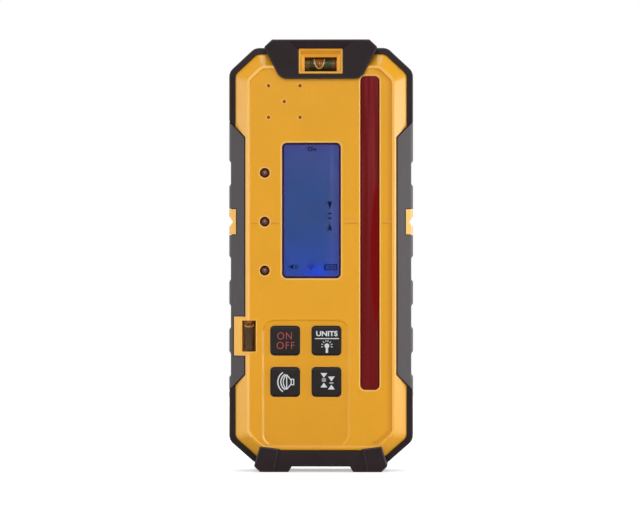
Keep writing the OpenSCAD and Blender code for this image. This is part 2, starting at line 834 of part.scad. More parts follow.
// Black bumper round the bottom edge, with two feet
module bottom_bumper() {
  fall_z = foot_block_h - foot_block_fall;
  points = [[-foot_stand_w / 2, 0], [-foot_gap_w / 2, 0], [foot_gap_slant - foot_gap_w / 2, foot_gap_h],
    [foot_gap_w / 2 - foot_gap_slant, foot_gap_h], [foot_gap_w / 2, 0], [foot_stand_w / 2, 0],
    [foot_w / 2, foot_side_h], [foot_top_w / 2, foot_block_h],
    [foot_band_w / 2, fall_z], [foot_band_w / 2 - foot_edge, foot_band_h],
    [foot_edge - foot_band_w / 2, foot_band_h], [-foot_band_w / 2, fall_z],
    [-foot_top_w / 2, foot_block_h], [-foot_w / 2, foot_side_h]];
  band = [[-foot_band_w / 2 - foot_band_slant, -overrun], [foot_band_w / 2 + foot_band_slant, -overrun],
    [foot_band_w / 2, foot_block_h], [-foot_band_w / 2, foot_block_h]];
  rubber_black() difference() {
    slab(front_y, rear_y) polygon(points);
    front_skin();
    rear_skin();
    bumper_ring();
    slab(front_y - overrun, front_y + foot_band_d) polygon(band);
  }
}

// Top vial
module top_vial_holder() {
  half = holder_w / 2;
  bore_x = vial_l / 2 + fit_gap;
  bore_r = vial_d / 2 + fit_gap;
  wide = rect(0, holder_z, holder_w - 2 * holder_lip, holder_h - 2 * holder_lip);
  deep_top = view_z + view_h / 2 + holder_lip;
  deep_low = view_z - view_h / 2;
  deep = rect(0, (deep_top + deep_low) / 2, holder_w - 2 * holder_lip, deep_top - deep_low);
  cover_yellow() difference() {
    block([-half, half], [holder_y, holder_back_y], [holder_low, holder_top]);
    loft([holder_y - overrun, holder_y, funnel_y], [wide, wide, deep]);
    slab(holder_y, vial_y) polygon(rect(0, view_z, view_w, view_h));
    bar_x([-bore_x, bore_x], vial_y, view_z, bore_r);
    block([-bore_x, bore_x], [vial_y, holder_back_y + overrun], [view_z - bore_r, view_z + bore_r]);
    block([-body_w, body_w], [-bumper_y - fit_gap, 0], [body_top - bumper_t - fit_gap, cap_top]);
  }
}
plug_l = 1.6;
module vial_tube(d, l) {
  difference() {
    bar_x([-l / 2, l / 2], 0, 0, d / 2);
    bar_x([vial_wall - l / 2, l / 2 + overrun], 0, 0, d / 2 - vial_wall);
  }
}
module vial_plug(d, l) {
  bar_x([l / 2 - plug_l, l / 2], 0, 0, d / 2 - vial_wall - thin_gap);
}
module vial_fluid(d, l, bubble) {
  difference() {
    bar_x([vial_wall - l / 2 + thin_gap, l / 2 - plug_l - thin_gap], 0, 0, d / 2 - vial_wall - thin_gap);
    translate(bubble) sphere(r = d / 4);
  }
}
module at_top_vial() { translate([0, vial_y, view_z]) children(); }
module at_side_vial() {
  translate([side_vial_x, side_vial_y, side_vial_z]) rotate([0, -90, 0]) children();
}
module top_vial_tube() { color("#cfe3d8") at_top_vial() vial_tube(vial_d, vial_l); }
module top_vial_plug() { color("#30302c") at_top_vial() vial_plug(vial_d, vial_l); }
module top_vial_fluid() {
  color("#3d4a26") at_top_vial() vial_fluid(vial_d, vial_l, [0, 0, vial_d / 4]);
}
module side_vial_tube() { color("#cfe3d8") at_side_vial() vial_tube(side_vial_d, side_vial_l); }
module side_vial_plug() { color("#30302c") at_side_vial() vial_plug(side_vial_d, side_vial_l); }
module side_vial_fluid() {
  color("#4a3a20") at_side_vial()
    vial_fluid(side_vial_d, side_vial_l, [side_vial_l / 2 - plug_l - side_vial_d / 4, 0, 0]);
}
module side_vial_retainer() {
  r = side_vial_d / 2;
  color("#d89a2c") block([side_vial_x - r, side_vial_x + r], [retainer_y, retainer_y + retainer_t],
    [side_vial_z - side_vial_l / 2, side_vial_z + side_vial_l / 2]);
}

// Display
module window_pane(x, z, w, h) {
  slab(panel_y + lens_sink, panel_y + lens_sink + lens_t) polygon(pad(x, z, w, h, lens_r));
}
module window_tape(x, z, w, h) {
  slab(pocket_y - tape_t, pocket_y) difference() {
    polygon(pad(x, z, w, h, lens_r));
    polygon(pad(x, z, w - 2 * ledge_w, h - 2 * ledge_w, lens_r - ledge_w / 2));
  }
}
frame_wall = 0.6;
module display_lens() { color("#3b4d86") window_pane(lens_x, lens_z, lens_w, lens_h); }
module display_gasket() { color("#222222") window_tape(lens_x, lens_z, lens_w, lens_h); }
module display_glass() {
  color("#51603f") slab(glass_y, glass_y + glass_t) polygon(rect(lens_x, lens_z, lens_w, lens_h));
}
module display_backlight() {
  color("#dfe6f2") slab(glass_y + glass_t, board_y) polygon(rect(lens_x, lens_z, lens_w, lens_h));
}
module display_frame() {
  outer = fit_gap + frame_wall;
  bright_metal() slab(glass_y, board_y) difference() {
    polygon(rect(lens_x, lens_z, lens_w + 2 * outer, lens_h + 2 * outer));
    polygon(rect(lens_x, lens_z, lens_w + 2 * fit_gap, lens_h + 2 * fit_gap));
  }
}

// Laser window and what is behind it
module laser_window() { color("#79201f") window_pane(laser_x, laser_z, laser_w, laser_h); }
module window_gasket() { color("#222222") window_tape(laser_x, laser_z, laser_w, laser_h); }
module detector_board() {
  board_green() slab(detector_y, detector_y + detector_t)
    polygon(rect(laser_x, laser_z, detector_w, laser_h + 2 * detector_over));
}
module photodiodes() {
  count = floor((laser_h - 2 * ledge_w - diode_h) / diode_pitch);
  color("#303036") for (i = [0:count]) slab(diode_y, detector_y)
    polygon(rect(laser_x, laser_z + (i - count / 2) * diode_pitch, diode_w, diode_h));
}
module detector_headers() {
  reach = (laser_h - header_h) / 2;
  color("#26262a") for (v = [-1, 1]) slab(detector_y + detector_t, board_y)
    polygon(rect(laser_x, laser_z + v * reach, header_w, header_h));
}

// Main board and what is on it
module main_board() {
  board_green() difference() {
    slab(board_y, board_back_y) intersection() {
      polygon(outline(bumper_t + wall + board_end_gap));
      polygon(rect(0, (board_low + board_top) / 2, 2 * board_half, board_top - board_low));
    }
    both_sides() for (z = screw_zs)
      bar_y(screw_x, [board_y - overrun, board_back_y + overrun], z, boss_r + board_notch_gap);
    for (p = standoffs)
      bar_y(p.x, [board_y - overrun, board_back_y + overrun], p.y, board_screw_d / 2 + fit_gap);
  }
}
chip_w = 10;
chip_pitch = 15;
chip_t = 1.4;
coil_d = 6;
coil_t = 3.4;
module board_chips() {
  low = tub_top + tub_wall + chip_w;
  color("#202024") {
    slab(board_back_y, board_back_y + chip_t) polygon(rect(-chip_w, low, chip_w, chip_w));
    slab(board_back_y, board_back_y + chip_t) polygon(rect(chip_w / 2, low, chip_w, chip_w / 2));
    slab(board_back_y, board_back_y + chip_t) polygon(rect(-chip_w, low + chip_pitch, chip_w / 2, chip_w));
    bar_y(-chip_w, [board_back_y, board_back_y + coil_t], low + 2 * chip_pitch, coil_d / 2);
    bar_y(chip_w, [board_back_y, board_back_y + coil_t], low + 2 * chip_pitch, coil_d / 2);
  }
}
module board_screws() {
  bright_metal() for (p = standoffs) union() {
    bar_y(p.x, [board_y - board_screw_l, board_back_y], p.y, board_screw_d / 2);
    bar_y(p.x, [board_back_y, board_back_y + board_head_t], p.y, board_head_d / 2);
  }
}
led_sink = 0.5;
led_rim = 0.4;
led_base = 1;
module indicator_leds() {
  dome_y = panel_y + led_sink + led_d / 2;
  color("#4a2320") for (k = [-1:1]) translate([led_x, 0, grade_z + k * led_pitch]) union() {
    bar_y(0, [dome_y, board_y], 0, led_d / 2);
    translate([0, dome_y, 0]) sphere(d = led_d);
    bar_y(0, [board_y - led_base, board_y], 0, led_d / 2 + led_rim);
  }
}
membrane_t = 0.3;
sounder_port_d = 3;
module sounder() {
  color("#1c1c1e") difference() {
    bar_y(sounder_x, [panel_in_y + membrane_t, board_y], sounder_z, sounder_d / 2);
    bar_y(sounder_x, [panel_in_y, panel_in_y + membrane_t + overrun], sounder_z, sounder_port_d / 2);
  }
}
module sounder_membrane() {
  color("#3c3c40") bar_y(sounder_x, [panel_in_y, panel_in_y + membrane_t], sounder_z, sounder_d / 2);
}

// Keys with their plungers and switches
flange_w = 0.9;
flange_t = 1;
flange_y = panel_in_y + run_gap;
plunger_d = 3.2;
plunger_gap = 0.1;
switch_w = 6;
switch_gap = 0.8;
switch_y = flange_y + flange_t + key_travel + switch_gap;
plunger_in = 0.6;
module key(i) {
  p = key_places[i];
  color("#2a2829") union() {
    slab(key_y, flange_y + flange_t) polygon(pad(p.x, p.y, key_w, key_w, key_r));
    slab(flange_y, flange_y + flange_t)
      polygon(pad(p.x, p.y, key_w + 2 * flange_w, key_w + 2 * flange_w, key_r + flange_w));
  }
}
module plunger(i) {
  p = key_places[i];
  color("#d8d4c8") bar_y(p.x, [flange_y + flange_t, switch_y + plunger_in], p.y, plunger_d / 2);
}
module tact_switches() {
  bore_y = switch_y + plunger_in + key_travel;
  color("#3a3a3c") for (p = key_places) difference() {
    slab(switch_y, board_y) polygon(rect(p.x, p.y, switch_w, switch_w));
    bar_y(p.x, [switch_y - overrun, bore_y + fit_gap], p.y, plunger_d / 2 + plunger_gap);
  }
}
module key_power() { key(0); }
module key_units() { key(1); }
module key_sound() { key(2); }
module key_accuracy() { key(3); }
module plunger_power() { plunger(0); }
module plunger_units() { plunger(1); }
module plunger_sound() { plunger(2); }
module plunger_accuracy() { plunger(3); }

// Cells and contacts: the left cell stands button up, the right one button down
module cell() {
  bar_z(0, 0, [0, cell_l - button_h], cell_d / 2);
  bar_z(0, 0, [cell_l - button_h, cell_l], button_d / 2);
}
module cell_left() {
  color("#3c4a54") translate([-cell_x, cell_y, tub_top - contact_t - cell_l]) cell();
}
module cell_right() {
  color("#3c4a54") translate([cell_x, cell_y, tub_low + contact_t + cell_l]) mirror([0, 0, 1]) cell();
}
module bridge_contact() {
  reach = cell_x + contact_w / 2;
  bright_metal() block([-reach, reach], [cell_y - contact_d / 2, cell_y + contact_d / 2],
    [tub_low, tub_low + contact_t]);
}
module terminal(x) {
  bright_metal() {
    block([x - contact_w / 2, x + contact_w / 2], [cell_y - contact_d / 2, cell_y + contact_d / 2],
      [tub_top - contact_t, tub_top]);
    block([x - tab_w / 2, x + tab_w / 2], [board_back_y, cell_y], [tub_top - contact_t, tub_top]);
  }
}
module positive_terminal() { terminal(-cell_x); }
module negative_terminal() { terminal(cell_x); }

// A contact spring is one tube along a widening coil
spring_d = 0.7;
spring_turns = 4;
spring_rings = 12;
spring_sides = 6;
spring_narrow = 2.2;
spring_wide = 4.4;
spring_count = spring_turns * spring_rings;
spring_rise = spring_l - spring_d - 2 * thin_gap;
function spring_point(t) = let (r = spring_wide + (spring_narrow - spring_wide) * t,
  a = 360 * spring_turns * t)
  [r * cos(a), r * sin(a), thin_gap + spring_d / 2 + spring_rise * t];
function spring_ring(t) = let (a = 360 * spring_turns * t, c = spring_point(t))
  [for (k = [0:spring_sides - 1]) let (b = 360 * k / spring_sides)
    c + spring_d / 2 * [cos(b) * cos(a), cos(b) * sin(a), sin(b)]];
module spring() {
  n = spring_sides;
  rings = [for (i = [0:spring_count]) for (p = spring_ring(i / spring_count)) p];
  polyhedron(points = rings, faces = concat(
    [for (k = [1:n - 2]) [0, k, k + 1]],
    [for (k = [1:n - 2]) [spring_count * n, spring_count * n + k + 1, spring_count * n + k]],
    [for (i = [0:spring_count - 1]) for (k = [0:n - 1])
      [i * n + k, (i + 1) * n + k, (i + 1) * n + (k + 1) % n]],
    [for (i = [0:spring_count - 1]) for (k = [0:n - 1])
      [i * n + k, (i + 1) * n + (k + 1) % n, i * n + (k + 1) % n]]));
}
spring_least_gap = min([for (i = [0:spring_count - spring_rings])
  norm(spring_point((i + spring_rings) / spring_count) - spring_point(i / spring_count))]) - spring_d;
echo(spring_least_gap = spring_least_gap);
module contact_springs() {
  bright_metal() {
    translate([-cell_x, cell_y, tub_low + contact_t]) spring();
    translate([cell_x, cell_y, tub_top - contact_t]) rotate([180, 0, 0]) spring();
  }
}

// Battery door on its hinge pin
module seal_outline() {
  mid = door_ledge / 2;
  difference() {
    polygon(pad(0, tub_z, 2 * (tub_half + mid) + seal_w, tub_h + 2 * mid + seal_w, door_r));
    polygon(pad(0, tub_z, 2 * (tub_half + mid) - seal_w, tub_h + 2 * mid - seal_w, door_r - seal_w));
  }
}
module battery_door() {
  low = hinge_z + trough_r;
  cover_yellow() difference() {
    union() {
      slab(door_in_y, back_y) polygon(pad(0, (low + door_top) / 2, 2 * door_half, door_top - low, door_r));
      both_sides() bar_x([barrel_x - barrel_w / 2, barrel_x + barrel_w / 2], hinge_y, hinge_z, barrel_r);
      both_sides() block([barrel_x - barrel_w / 2, barrel_x + barrel_w / 2], [door_in_y, back_y],
        [hinge_z, low + overrun]);
      block([-nib_w / 2, nib_w / 2], [door_in_y, door_in_y + nib_t], [door_top - overrun, door_top + nib_h]);
    }
    both_sides() bar_x([barrel_x - barrel_w, barrel_x + barrel_w], hinge_y, hinge_z, pin_d / 2 + run_gap);
    for (k = [1:grip_rib_count])
      block([-grip_rib_w / 2, grip_rib_w / 2], [back_y - grip_rib_d, back_y + overrun],
        [door_top - (k + 1) * grip_rib_pitch, door_top - (k + 1) * grip_rib_pitch + grip_rib_h]);
  }
}
module door_hinge_pin() {
  bright_metal() bar_x([fit_gap - hinge_half, hinge_half - fit_gap], hinge_y, hinge_z, pin_d / 2);
}
module door_seal() {
  color("#3a3a3a") slab(door_in_y - seal_t, door_in_y) seal_outline();
}

// Screws and the threaded insert
module cover_screws() {
  seat = back_y - screw_sink;
  bright_metal() both_sides() for (z = screw_zs) difference() {
    union() {
      bar_y(screw_x, [screw_tip_y, seat], z, screw_d / 2);
      bar_y(screw_x, [seat, seat + screw_head_t], z, screw_head_d / 2);
    }
    slab(seat + screw_head_t - cross_d, seat + screw_head_t + overrun) {
      polygon(rect(screw_x, z, cross_w, screw_head_d / 2));
      polygon(rect(screw_x, z, screw_head_d / 2, cross_w));
    }
  }
}
module clamp_insert() {
  mid = clamp_y - insert_l / 2;
  color("#b8923a") difference() {
    bar_y(0, [clamp_y - insert_l, clamp_y], clamp_z, insert_r);
    bar_y(0, [clamp_y - insert_l + insert_floor, clamp_y + overrun], clamp_z, clamp_d / 2);
    difference() {
      bar_y(0, [mid - insert_groove_l / 2, mid + insert_groove_l / 2], clamp_z, insert_r + overrun);
      bar_y(0, [mid - insert_groove_l, mid + insert_groove_l], clamp_z, insert_r - insert_groove);
    }
  }
}

front_cover();
rear_cover();
cover_gasket();
upper_bumper();
lower_bumper();
left_grip();
right_grip();
top_cap();
bottom_bumper();
top_vial_holder();
top_vial_tube();
top_vial_plug();
top_vial_fluid();
side_vial_tube();
side_vial_plug();
side_vial_fluid();
side_vial_retainer();
display_lens();
display_gasket();
display_glass();
display_frame();
display_backlight();
laser_window();
window_gasket();
detector_board();
photodiodes();
detector_headers();
main_board();
board_chips();
board_screws();
indicator_leds();
sounder();
sounder_membrane();
key_power();
key_units();
key_sound();
key_accuracy();
plunger_power();
plunger_units();
plunger_sound();
plunger_accuracy();
tact_switches();
cell_left();
cell_right();
bridge_contact();
positive_terminal();
negative_terminal();
contact_springs();
battery_door();
door_hinge_pin();
door_seal();
cover_screws();
clamp_insert();
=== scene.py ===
# %% [markdown]
# # A hand-held laser receiver
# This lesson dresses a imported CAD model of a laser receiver: a yellow moulded case with black
# bumpers, grey grips, a red window for the laser, a blue display, four keys and two bubble vials.
# The CAD solids have the right sizes but knife-sharp edges, so most of what shows is rebuilt here
# as surfaces with rolled edges, and every piece gets a finish made of shader nodes.

# %% Load the frame
import json
import math

import bmesh
import bpy
import numpy as np
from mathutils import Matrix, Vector


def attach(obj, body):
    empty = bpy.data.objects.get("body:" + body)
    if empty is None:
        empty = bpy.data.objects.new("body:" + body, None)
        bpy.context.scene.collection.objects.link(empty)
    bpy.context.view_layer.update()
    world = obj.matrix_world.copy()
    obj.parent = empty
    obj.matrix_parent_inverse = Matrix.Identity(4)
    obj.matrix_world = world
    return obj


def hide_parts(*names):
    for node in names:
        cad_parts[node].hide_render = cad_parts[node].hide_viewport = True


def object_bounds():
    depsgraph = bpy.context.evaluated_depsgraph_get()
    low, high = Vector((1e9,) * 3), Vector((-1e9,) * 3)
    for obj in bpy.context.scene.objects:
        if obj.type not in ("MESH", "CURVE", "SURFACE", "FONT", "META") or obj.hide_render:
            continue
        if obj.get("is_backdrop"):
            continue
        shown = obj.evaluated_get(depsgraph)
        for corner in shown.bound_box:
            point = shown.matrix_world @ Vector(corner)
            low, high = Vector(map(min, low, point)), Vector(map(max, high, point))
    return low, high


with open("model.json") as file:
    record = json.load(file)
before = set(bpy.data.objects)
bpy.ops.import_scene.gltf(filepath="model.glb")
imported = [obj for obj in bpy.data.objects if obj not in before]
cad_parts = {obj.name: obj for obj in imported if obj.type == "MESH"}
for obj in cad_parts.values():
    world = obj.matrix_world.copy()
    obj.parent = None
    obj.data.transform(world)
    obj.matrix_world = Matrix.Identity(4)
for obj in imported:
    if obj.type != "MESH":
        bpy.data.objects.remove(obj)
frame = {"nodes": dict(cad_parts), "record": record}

CAD_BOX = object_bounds()
NODES = frame["nodes"]
MM = 0.001
scene = bpy.context.scene

# %% [markdown]
# ## Tools for outlines
# Nearly every part of this case is an outline carried through depth: the housing's eight-sided
# outline, the pads of the windows and keys, the section of a grip. One function moves an outline
# inwards and another rolls its corners. Both keep the number of points, so that outlines at
# different depths can be joined into a grid with no bookkeeping.

# %% Outline tools
def unit(v):
    """Each vector divided by its own length."""
    return v / np.linalg.norm(v, axis=-1, keepdims=True)


def inward(u):
    """The left-hand normal of a direction, which points into an anticlockwise outline."""
    return np.stack([-u[..., 1], u[..., 0]], -1)


def inset(points, d):
    """Corner + d (a + b) / (1 + a.b), where a and b are the inward normals of its two sides."""
    p = np.asarray(points, float)
    a, b = inward(unit(p - np.roll(p, 1, 0))), inward(unit(np.roll(p, -1, 0) - p))
    return p + d * (a + b) / (1 + (a * b).sum(1, keepdims=True))


def rounded(points, r, steps=6):
    """Each corner becomes an arc: centre minus radius times a normal that turns from side to side."""
    p = np.asarray(points, float)
    u, v = unit(p - np.roll(p, 1, 0)), unit(np.roll(p, -1, 0) - p)
    a, b = inward(u), inward(v)
    q = (np.broadcast_to(r, len(p)) * np.sign(u[:, 0] * v[:, 1] - u[:, 1] * v[:, 0]))[:, None]
    c = p + q * (a + b) / (1 + (a * b).sum(1, keepdims=True))
    t = np.linspace(0, 1, steps + 1)[None, :, None]
    return (c[:, None] - q[:, None] * unit(a[:, None] * (1 - t) + b[:, None] * t)).reshape(-1, 2)


def soften(path, radii, steps=5):
    """An open path whose inner corners become arcs of the given radii, by the same formula."""
    p = np.asarray(path, float)
    arcs = [rounded([p[i - 1], p[i], p[i + 1]], [0, r, 0], steps)[steps + 1:2 * (steps + 1)]
            for i, r in enumerate(radii, 1)]
    return np.concatenate([p[:1], *arcs, p[-1:]])


def span(middle, half):
    """The two limits at half a width from the middle."""
    return middle - half, middle + half


def rect(x, z, w, h):
    """Four corners about a centre, anticlockwise."""
    (x0, x1), (z0, z1) = span(x, w / 2), span(z, h / 2)
    return np.array([[x0, z0], [x1, z0], [x1, z1], [x0, z1]])


def pad(x, z, w, h, r, d=0.0):
    """A rectangle with round corners, moved inwards by d."""
    return rounded(inset(rect(x, z, w, h), d), max(r - d, 0.05))


def ring(x, z, r, count=40):
    """A circle about a centre, anticlockwise."""
    t = np.linspace(0, 2 * np.pi, count, endpoint=False)
    return np.stack([x + r * np.cos(t), z + r * np.sin(t)], 1)


def at_depth(loop, y):
    """A front-view outline set at depth y."""
    return np.insert(loop, 1, y, axis=1)


print("corner of a 10 mm pad:", pad(0, 0, 10, 10, 2)[0].round(2))

# %% [markdown]
# ## Tools for meshes
# A stack of outlines is a grid: row for depth, column for the place along the outline. The quads
# between the rows are index arithmetic on whole arrays. Holes and seats are cut afterwards with
# Boolean tools, whose mouths are flared, so that each hole keeps a rolled lip that catches light.

# %% Grids and solids
def skin(rows, caps=(True, True), wrap=False):
    """Quads between the rows of a grid (rows, columns, 3), columns closed, flat caps at both ends."""
    rows = np.asarray(rows, float)
    m, n = rows.shape[:2]
    i, j = np.meshgrid(np.arange(m - 1 + wrap), np.arange(n), indexing="ij")
    i2, j2 = (i + 1) % m, (j + 1) % n
    faces = np.stack([i * n + j, i * n + j2, i2 * n + j2, i2 * n + j], -1).reshape(-1, 4).tolist()
    ends = [list(range(n)), list(range((m - 1) * n, m * n))]
    return rows.reshape(-1, 3), faces + [end for end, wanted in zip(ends, caps) if wanted]


def slab(loop, y0, y1):
    """A front-view outline made thick between two depths."""
    return skin([at_depth(loop, y0), at_depth(loop, y1)])


def prism(loop, z0, z1):
    """A plan outline (x, y) made tall between two heights."""
    return skin([np.insert(loop, 2, z, axis=1) for z in (z0, z1)])


def box(x, y, z):
    """A box between two limits in each direction."""
    return slab(rect(sum(x) / 2, sum(z) / 2, x[1] - x[0], z[1] - z[0]), *y)


AXIS_R = 0.02


def lathe(profile, centre, axis, count=48):
    """A profile of (radius, place along the axis) turned round an axis through the centre; a profile that
    runs in to the axis ends at AXIS_R, and a tiny cap closes it."""
    t = np.linspace(0, 2 * np.pi, count, endpoint=False)
    p = np.asarray(profile, float)[:, None, :]
    a, b = p[..., 0] * np.cos(t), p[..., 0] * np.sin(t)
    along = np.broadcast_to(p[..., 1], a.shape)
    order = {"x": (along, a, b), "y": (a, along, b), "z": (a, b, along)}[axis]
    return skin(np.stack(order, -1) + np.asarray(centre, float))


print("faces of a box:", len(box((0, 1), (0, 1), (0, 1))[1]))

# %% Mesh objects and Boolean tools
def shape(name, *parts):
    """One mesh object in metres from parts in millimetres, doubles merged and faces outward."""
    offsets = np.cumsum([0] + [len(v) for v, _ in parts[:-1]])
    verts = np.concatenate([v for v, _ in parts]) * MM
    faces = [[int(k + o) for k in f] for (_, fs), o in zip(parts, offsets) for f in fs]
    mesh = bpy.data.meshes.new(name)
    mesh.from_pydata(verts.tolist(), [], faces)
    bm = bmesh.new()
    bm.from_mesh(mesh)
    bmesh.ops.remove_doubles(bm, verts=bm.verts, dist=1e-7)
    bmesh.ops.dissolve_degenerate(bm, edges=bm.edges, dist=1e-8)
    bmesh.ops.recalc_face_normals(bm, faces=bm.faces)
    bm.to_mesh(mesh)
    bm.free()
    obj = bpy.data.objects.new(name, mesh)
    scene.collection.objects.link(obj)
    return obj


def carve(obj, operation, *tools):
    """Cuts or joins tool solids with an exact Boolean, keeps the result and deletes the tools."""
    for tool in tools:
        mod = obj.modifiers.new("carve", "BOOLEAN")
        mod.operation, mod.solver, mod.object = operation, "EXACT", tool
        graph = bpy.context.evaluated_depsgraph_get()
        mesh = bpy.data.meshes.new_from_object(obj.evaluated_get(graph))
        obj.modifiers.clear()
        obj.data = mesh
        bpy.data.objects.remove(tool)
    return obj


def cut(obj, *parts):
    """Takes the parts away from an object; parts given together don't touch each other."""
    return carve(obj, "DIFFERENCE", shape("tool", *parts))


def fuse(obj, *parts):
    """Joins the parts to an object."""
    return carve(obj, "UNION", shape("tool", *parts))


def keep(obj, *parts):
    """Keeps what lies inside the parts."""
    return carve(obj, "INTERSECT", shape("tool", *parts))


# %% Cutters with a rolled lip
LIP_START, LIP_STEPS, CLEAR = 25, 6, 0.25
REACH = 18.0  # this deep, in front or behind, a cutter is clear of the case


def mouth(loop_at, y, end, lip, tail=(), steep=90):
    """A cutter whose lip rolls in from depth y: offset r sin a - r sin s and depth r - r cos a while a
    grows to the steepness s, then straight on to end; tail adds (inset, depth) rows behind. It starts
    CLEAR outside the surface."""
    way = np.sign(end - y)
    a = np.radians(np.linspace(LIP_START, steep, LIP_STEPS))
    off, deep = lip * (np.sin(a) - np.sin(a[-1])), lip * (1 - np.cos(a))
    rows = [(off[0] - (deep[0] + CLEAR) / np.tan(a[0]), y - way * CLEAR), *zip(off, y + way * deep)]
    rows += [((abs(end - y) - deep[-1]) / np.tan(a[-1]), end), *tail]
    return skin([at_depth(loop_at(d), v) for d, v in rows])


def pad_mouth(x, z, w, h, r, y, end, lip, tail=(), steep=90):
    """The same for a pad."""
    return mouth(lambda d: pad(x, z, w, h, r, d), y, end, lip, tail, steep)


def ring_mouth(x, z, r, y, end, lip):
    """The same for a round hole."""
    return mouth(lambda d: ring(x, z, r - d), y, end, lip)


print("points of a 10 mm pad cutter:", len(pad_mouth(0, 0, 10, 10, 2, 0, 3, 0.3)[0]))

# %% Marked faces and dressing
def mark(obj, title, amount):
    """Writes a face attribute: amount(centre in mm, normal) gives a value for every face at once."""
    count = len(obj.data.polygons)
    normal, centre = np.empty(count * 3), np.empty(count * 3)
    obj.data.polygons.foreach_get("normal", normal)
    obj.data.polygons.foreach_get("center", centre)
    value = amount(centre.reshape(-1, 3) / MM, normal.reshape(-1, 3))
    obj.data.attributes.new(title, "FLOAT", "FACE").data.foreach_set("value", value.astype(float))


def leaning(normal, low=0.3, high=0.95):
    """Faces whose normals lean between front and side, as rolled edges do."""
    lean = np.abs(normal[:, 1])
    return (lean > low) & (lean < high)


SHARP = math.radians(38)  # edges that turn by more than this stay crisp


def dress(obj, finish, body="root", replaces=()):
    """Gives a piece its finish, its shading and the CAD body that carries it."""
    obj.data.materials.clear()
    obj.data.materials.append(finish)
    obj.data.shade_smooth()
    obj.data.set_sharp_from_angle(angle=SHARP)
    mod = obj.modifiers.new("even shading", "WEIGHTED_NORMAL")
    mod.keep_sharp = True
    if replaces:
        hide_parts(*replaces)
    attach(obj, body)
    print(f"{obj.name}: {len(obj.data.vertices)} points, {len(obj.data.polygons)} faces")
    return obj


# %% [markdown]
# ## Finishes
# The case is moulded plastic with a fine spark-eroded grain, and the bumpers are rubber with a
# duller, coarser one. Both need grain height, patchy gloss and slight shade, so these come from
# one node group that each material places with its own values. A second group gives the faint
# scuffs of use. The Principled shader stays in each material.

# %% Node tools
def new_group(name, inputs, outputs):
    """An empty shader group with float inputs (name: default) and float outputs."""
    group = bpy.data.node_groups.new(name, "ShaderNodeTree")
    for title, value in inputs.items():
        socket = group.interface.new_socket(title, in_out="INPUT", socket_type="NodeSocketFloat")
        socket.default_value = value
    for title in outputs:
        group.interface.new_socket(title, in_out="OUTPUT", socket_type="NodeSocketFloat")
    return group, group.nodes.new("NodeGroupInput"), group.nodes.new("NodeGroupOutput")


def put(tree, socket, value):
    """Links an output into a socket, or sets the number, vector or colour there."""
    if isinstance(value, bpy.types.NodeSocket):
        tree.links.new(value, socket)
    else:
        socket.default_value = (*value, 1.0) if socket.type == "RGBA" else value


def feed(tree, node, **given):
    """Puts each value into the node's input of that name; an underscore stands for a space."""
    for title, value in given.items():
        put(tree, node.inputs[title.replace("_", " ")], value)


def new_node(tree, kind, **given):
    """A shader node with its inputs fed."""
    node = tree.nodes.new("ShaderNode" + kind)
    feed(tree, node, **given)
    return node


def object_place(tree):
    """Object coordinates, which are the CAD frame's own metres."""
    return new_node(tree, "TexCoord").outputs["Object"]


def noise(tree, where, scale, detail=3.0):
    """A noise texture on the given coordinates; scale is a number or a socket."""
    node = new_node(tree, "TexNoise", Vector=where, Scale=scale, Detail=detail, Roughness=0.55)
    return node.outputs["Fac"]


def remap(tree, value, low, high, to_low, to_high):
    """Maps low..high to to_low..to_high, held at the ends; the last two may be sockets."""
    node = new_node(tree, "MapRange", Value=value, From_Min=low, From_Max=high, To_Min=to_low, To_Max=to_high)
    return node.outputs["Result"]


def maths(tree, operation, a, b=0.0):
    """One arithmetic node on sockets or numbers."""
    node = tree.nodes.new("ShaderNodeMath")
    node.operation = operation
    put(tree, node.inputs[0], a)
    put(tree, node.inputs[1], b)
    return node.outputs[0]


def distance(tree, where, point=(0.0, 0.0, 0.0)):
    """How far a place is from a point, in metres."""
    node = tree.nodes.new("ShaderNodeVectorMath")
    node.operation = "DISTANCE"
    put(tree, node.inputs[0], where)
    put(tree, node.inputs[1], point)
    return node.outputs["Value"]


# %% Node groups for grain and scuffs
def grain_group():
    """Grain height from fine noise, patchy gloss and shade from broad noise, on Object coordinates."""
    group, given, out = new_group(
        "moulded_grain", {"Grain": 3000.0, "Patch": 60.0, "Shade": 0.06, "Gloss": 0.05},
        ["Height", "Shade", "Gloss"])
    where = object_place(group)
    fine = noise(group, where, given.outputs["Grain"], 2.0)
    broad = noise(group, where, given.outputs["Patch"], 4.0)
    dark = maths(group, "SUBTRACT", 1.0, given.outputs["Shade"])
    spread = maths(group, "MULTIPLY", maths(group, "SUBTRACT", broad, 0.5), given.outputs["Gloss"])
    feed(group, out, Height=fine, Shade=remap(group, broad, 0.3, 0.7, dark, 1.0),
         Gloss=maths(group, "MULTIPLY", spread, 2.0))
    return group


def scuff_group():
    """A mask of short pale scuffs: stretched noise cut off high, and thinned by broad noise."""
    group, given, out = new_group("scuffs", {"Amount": 0.5}, ["Mask"])
    where = object_place(group)
    turn = new_node(group, "Mapping", Vector=where, Rotation=(0.3, 0.5, 0.7), Scale=(1.0, 1.0, 0.12))
    marks = remap(group, noise(group, turn.outputs["Vector"], 900.0, 2.0), 0.66, 0.74, 0.0, 1.0)
    places = remap(group, noise(group, where, 45.0, 2.0), 0.5, 0.65, 0.0, 1.0)
    marks = maths(group, "MULTIPLY", marks, places)
    feed(group, out, Mask=maths(group, "MULTIPLY", marks, given.outputs["Amount"]))
    return group


GRAIN, SCUFFS = grain_group(), scuff_group()
print("groups:", [g.name for g in bpy.data.node_groups])
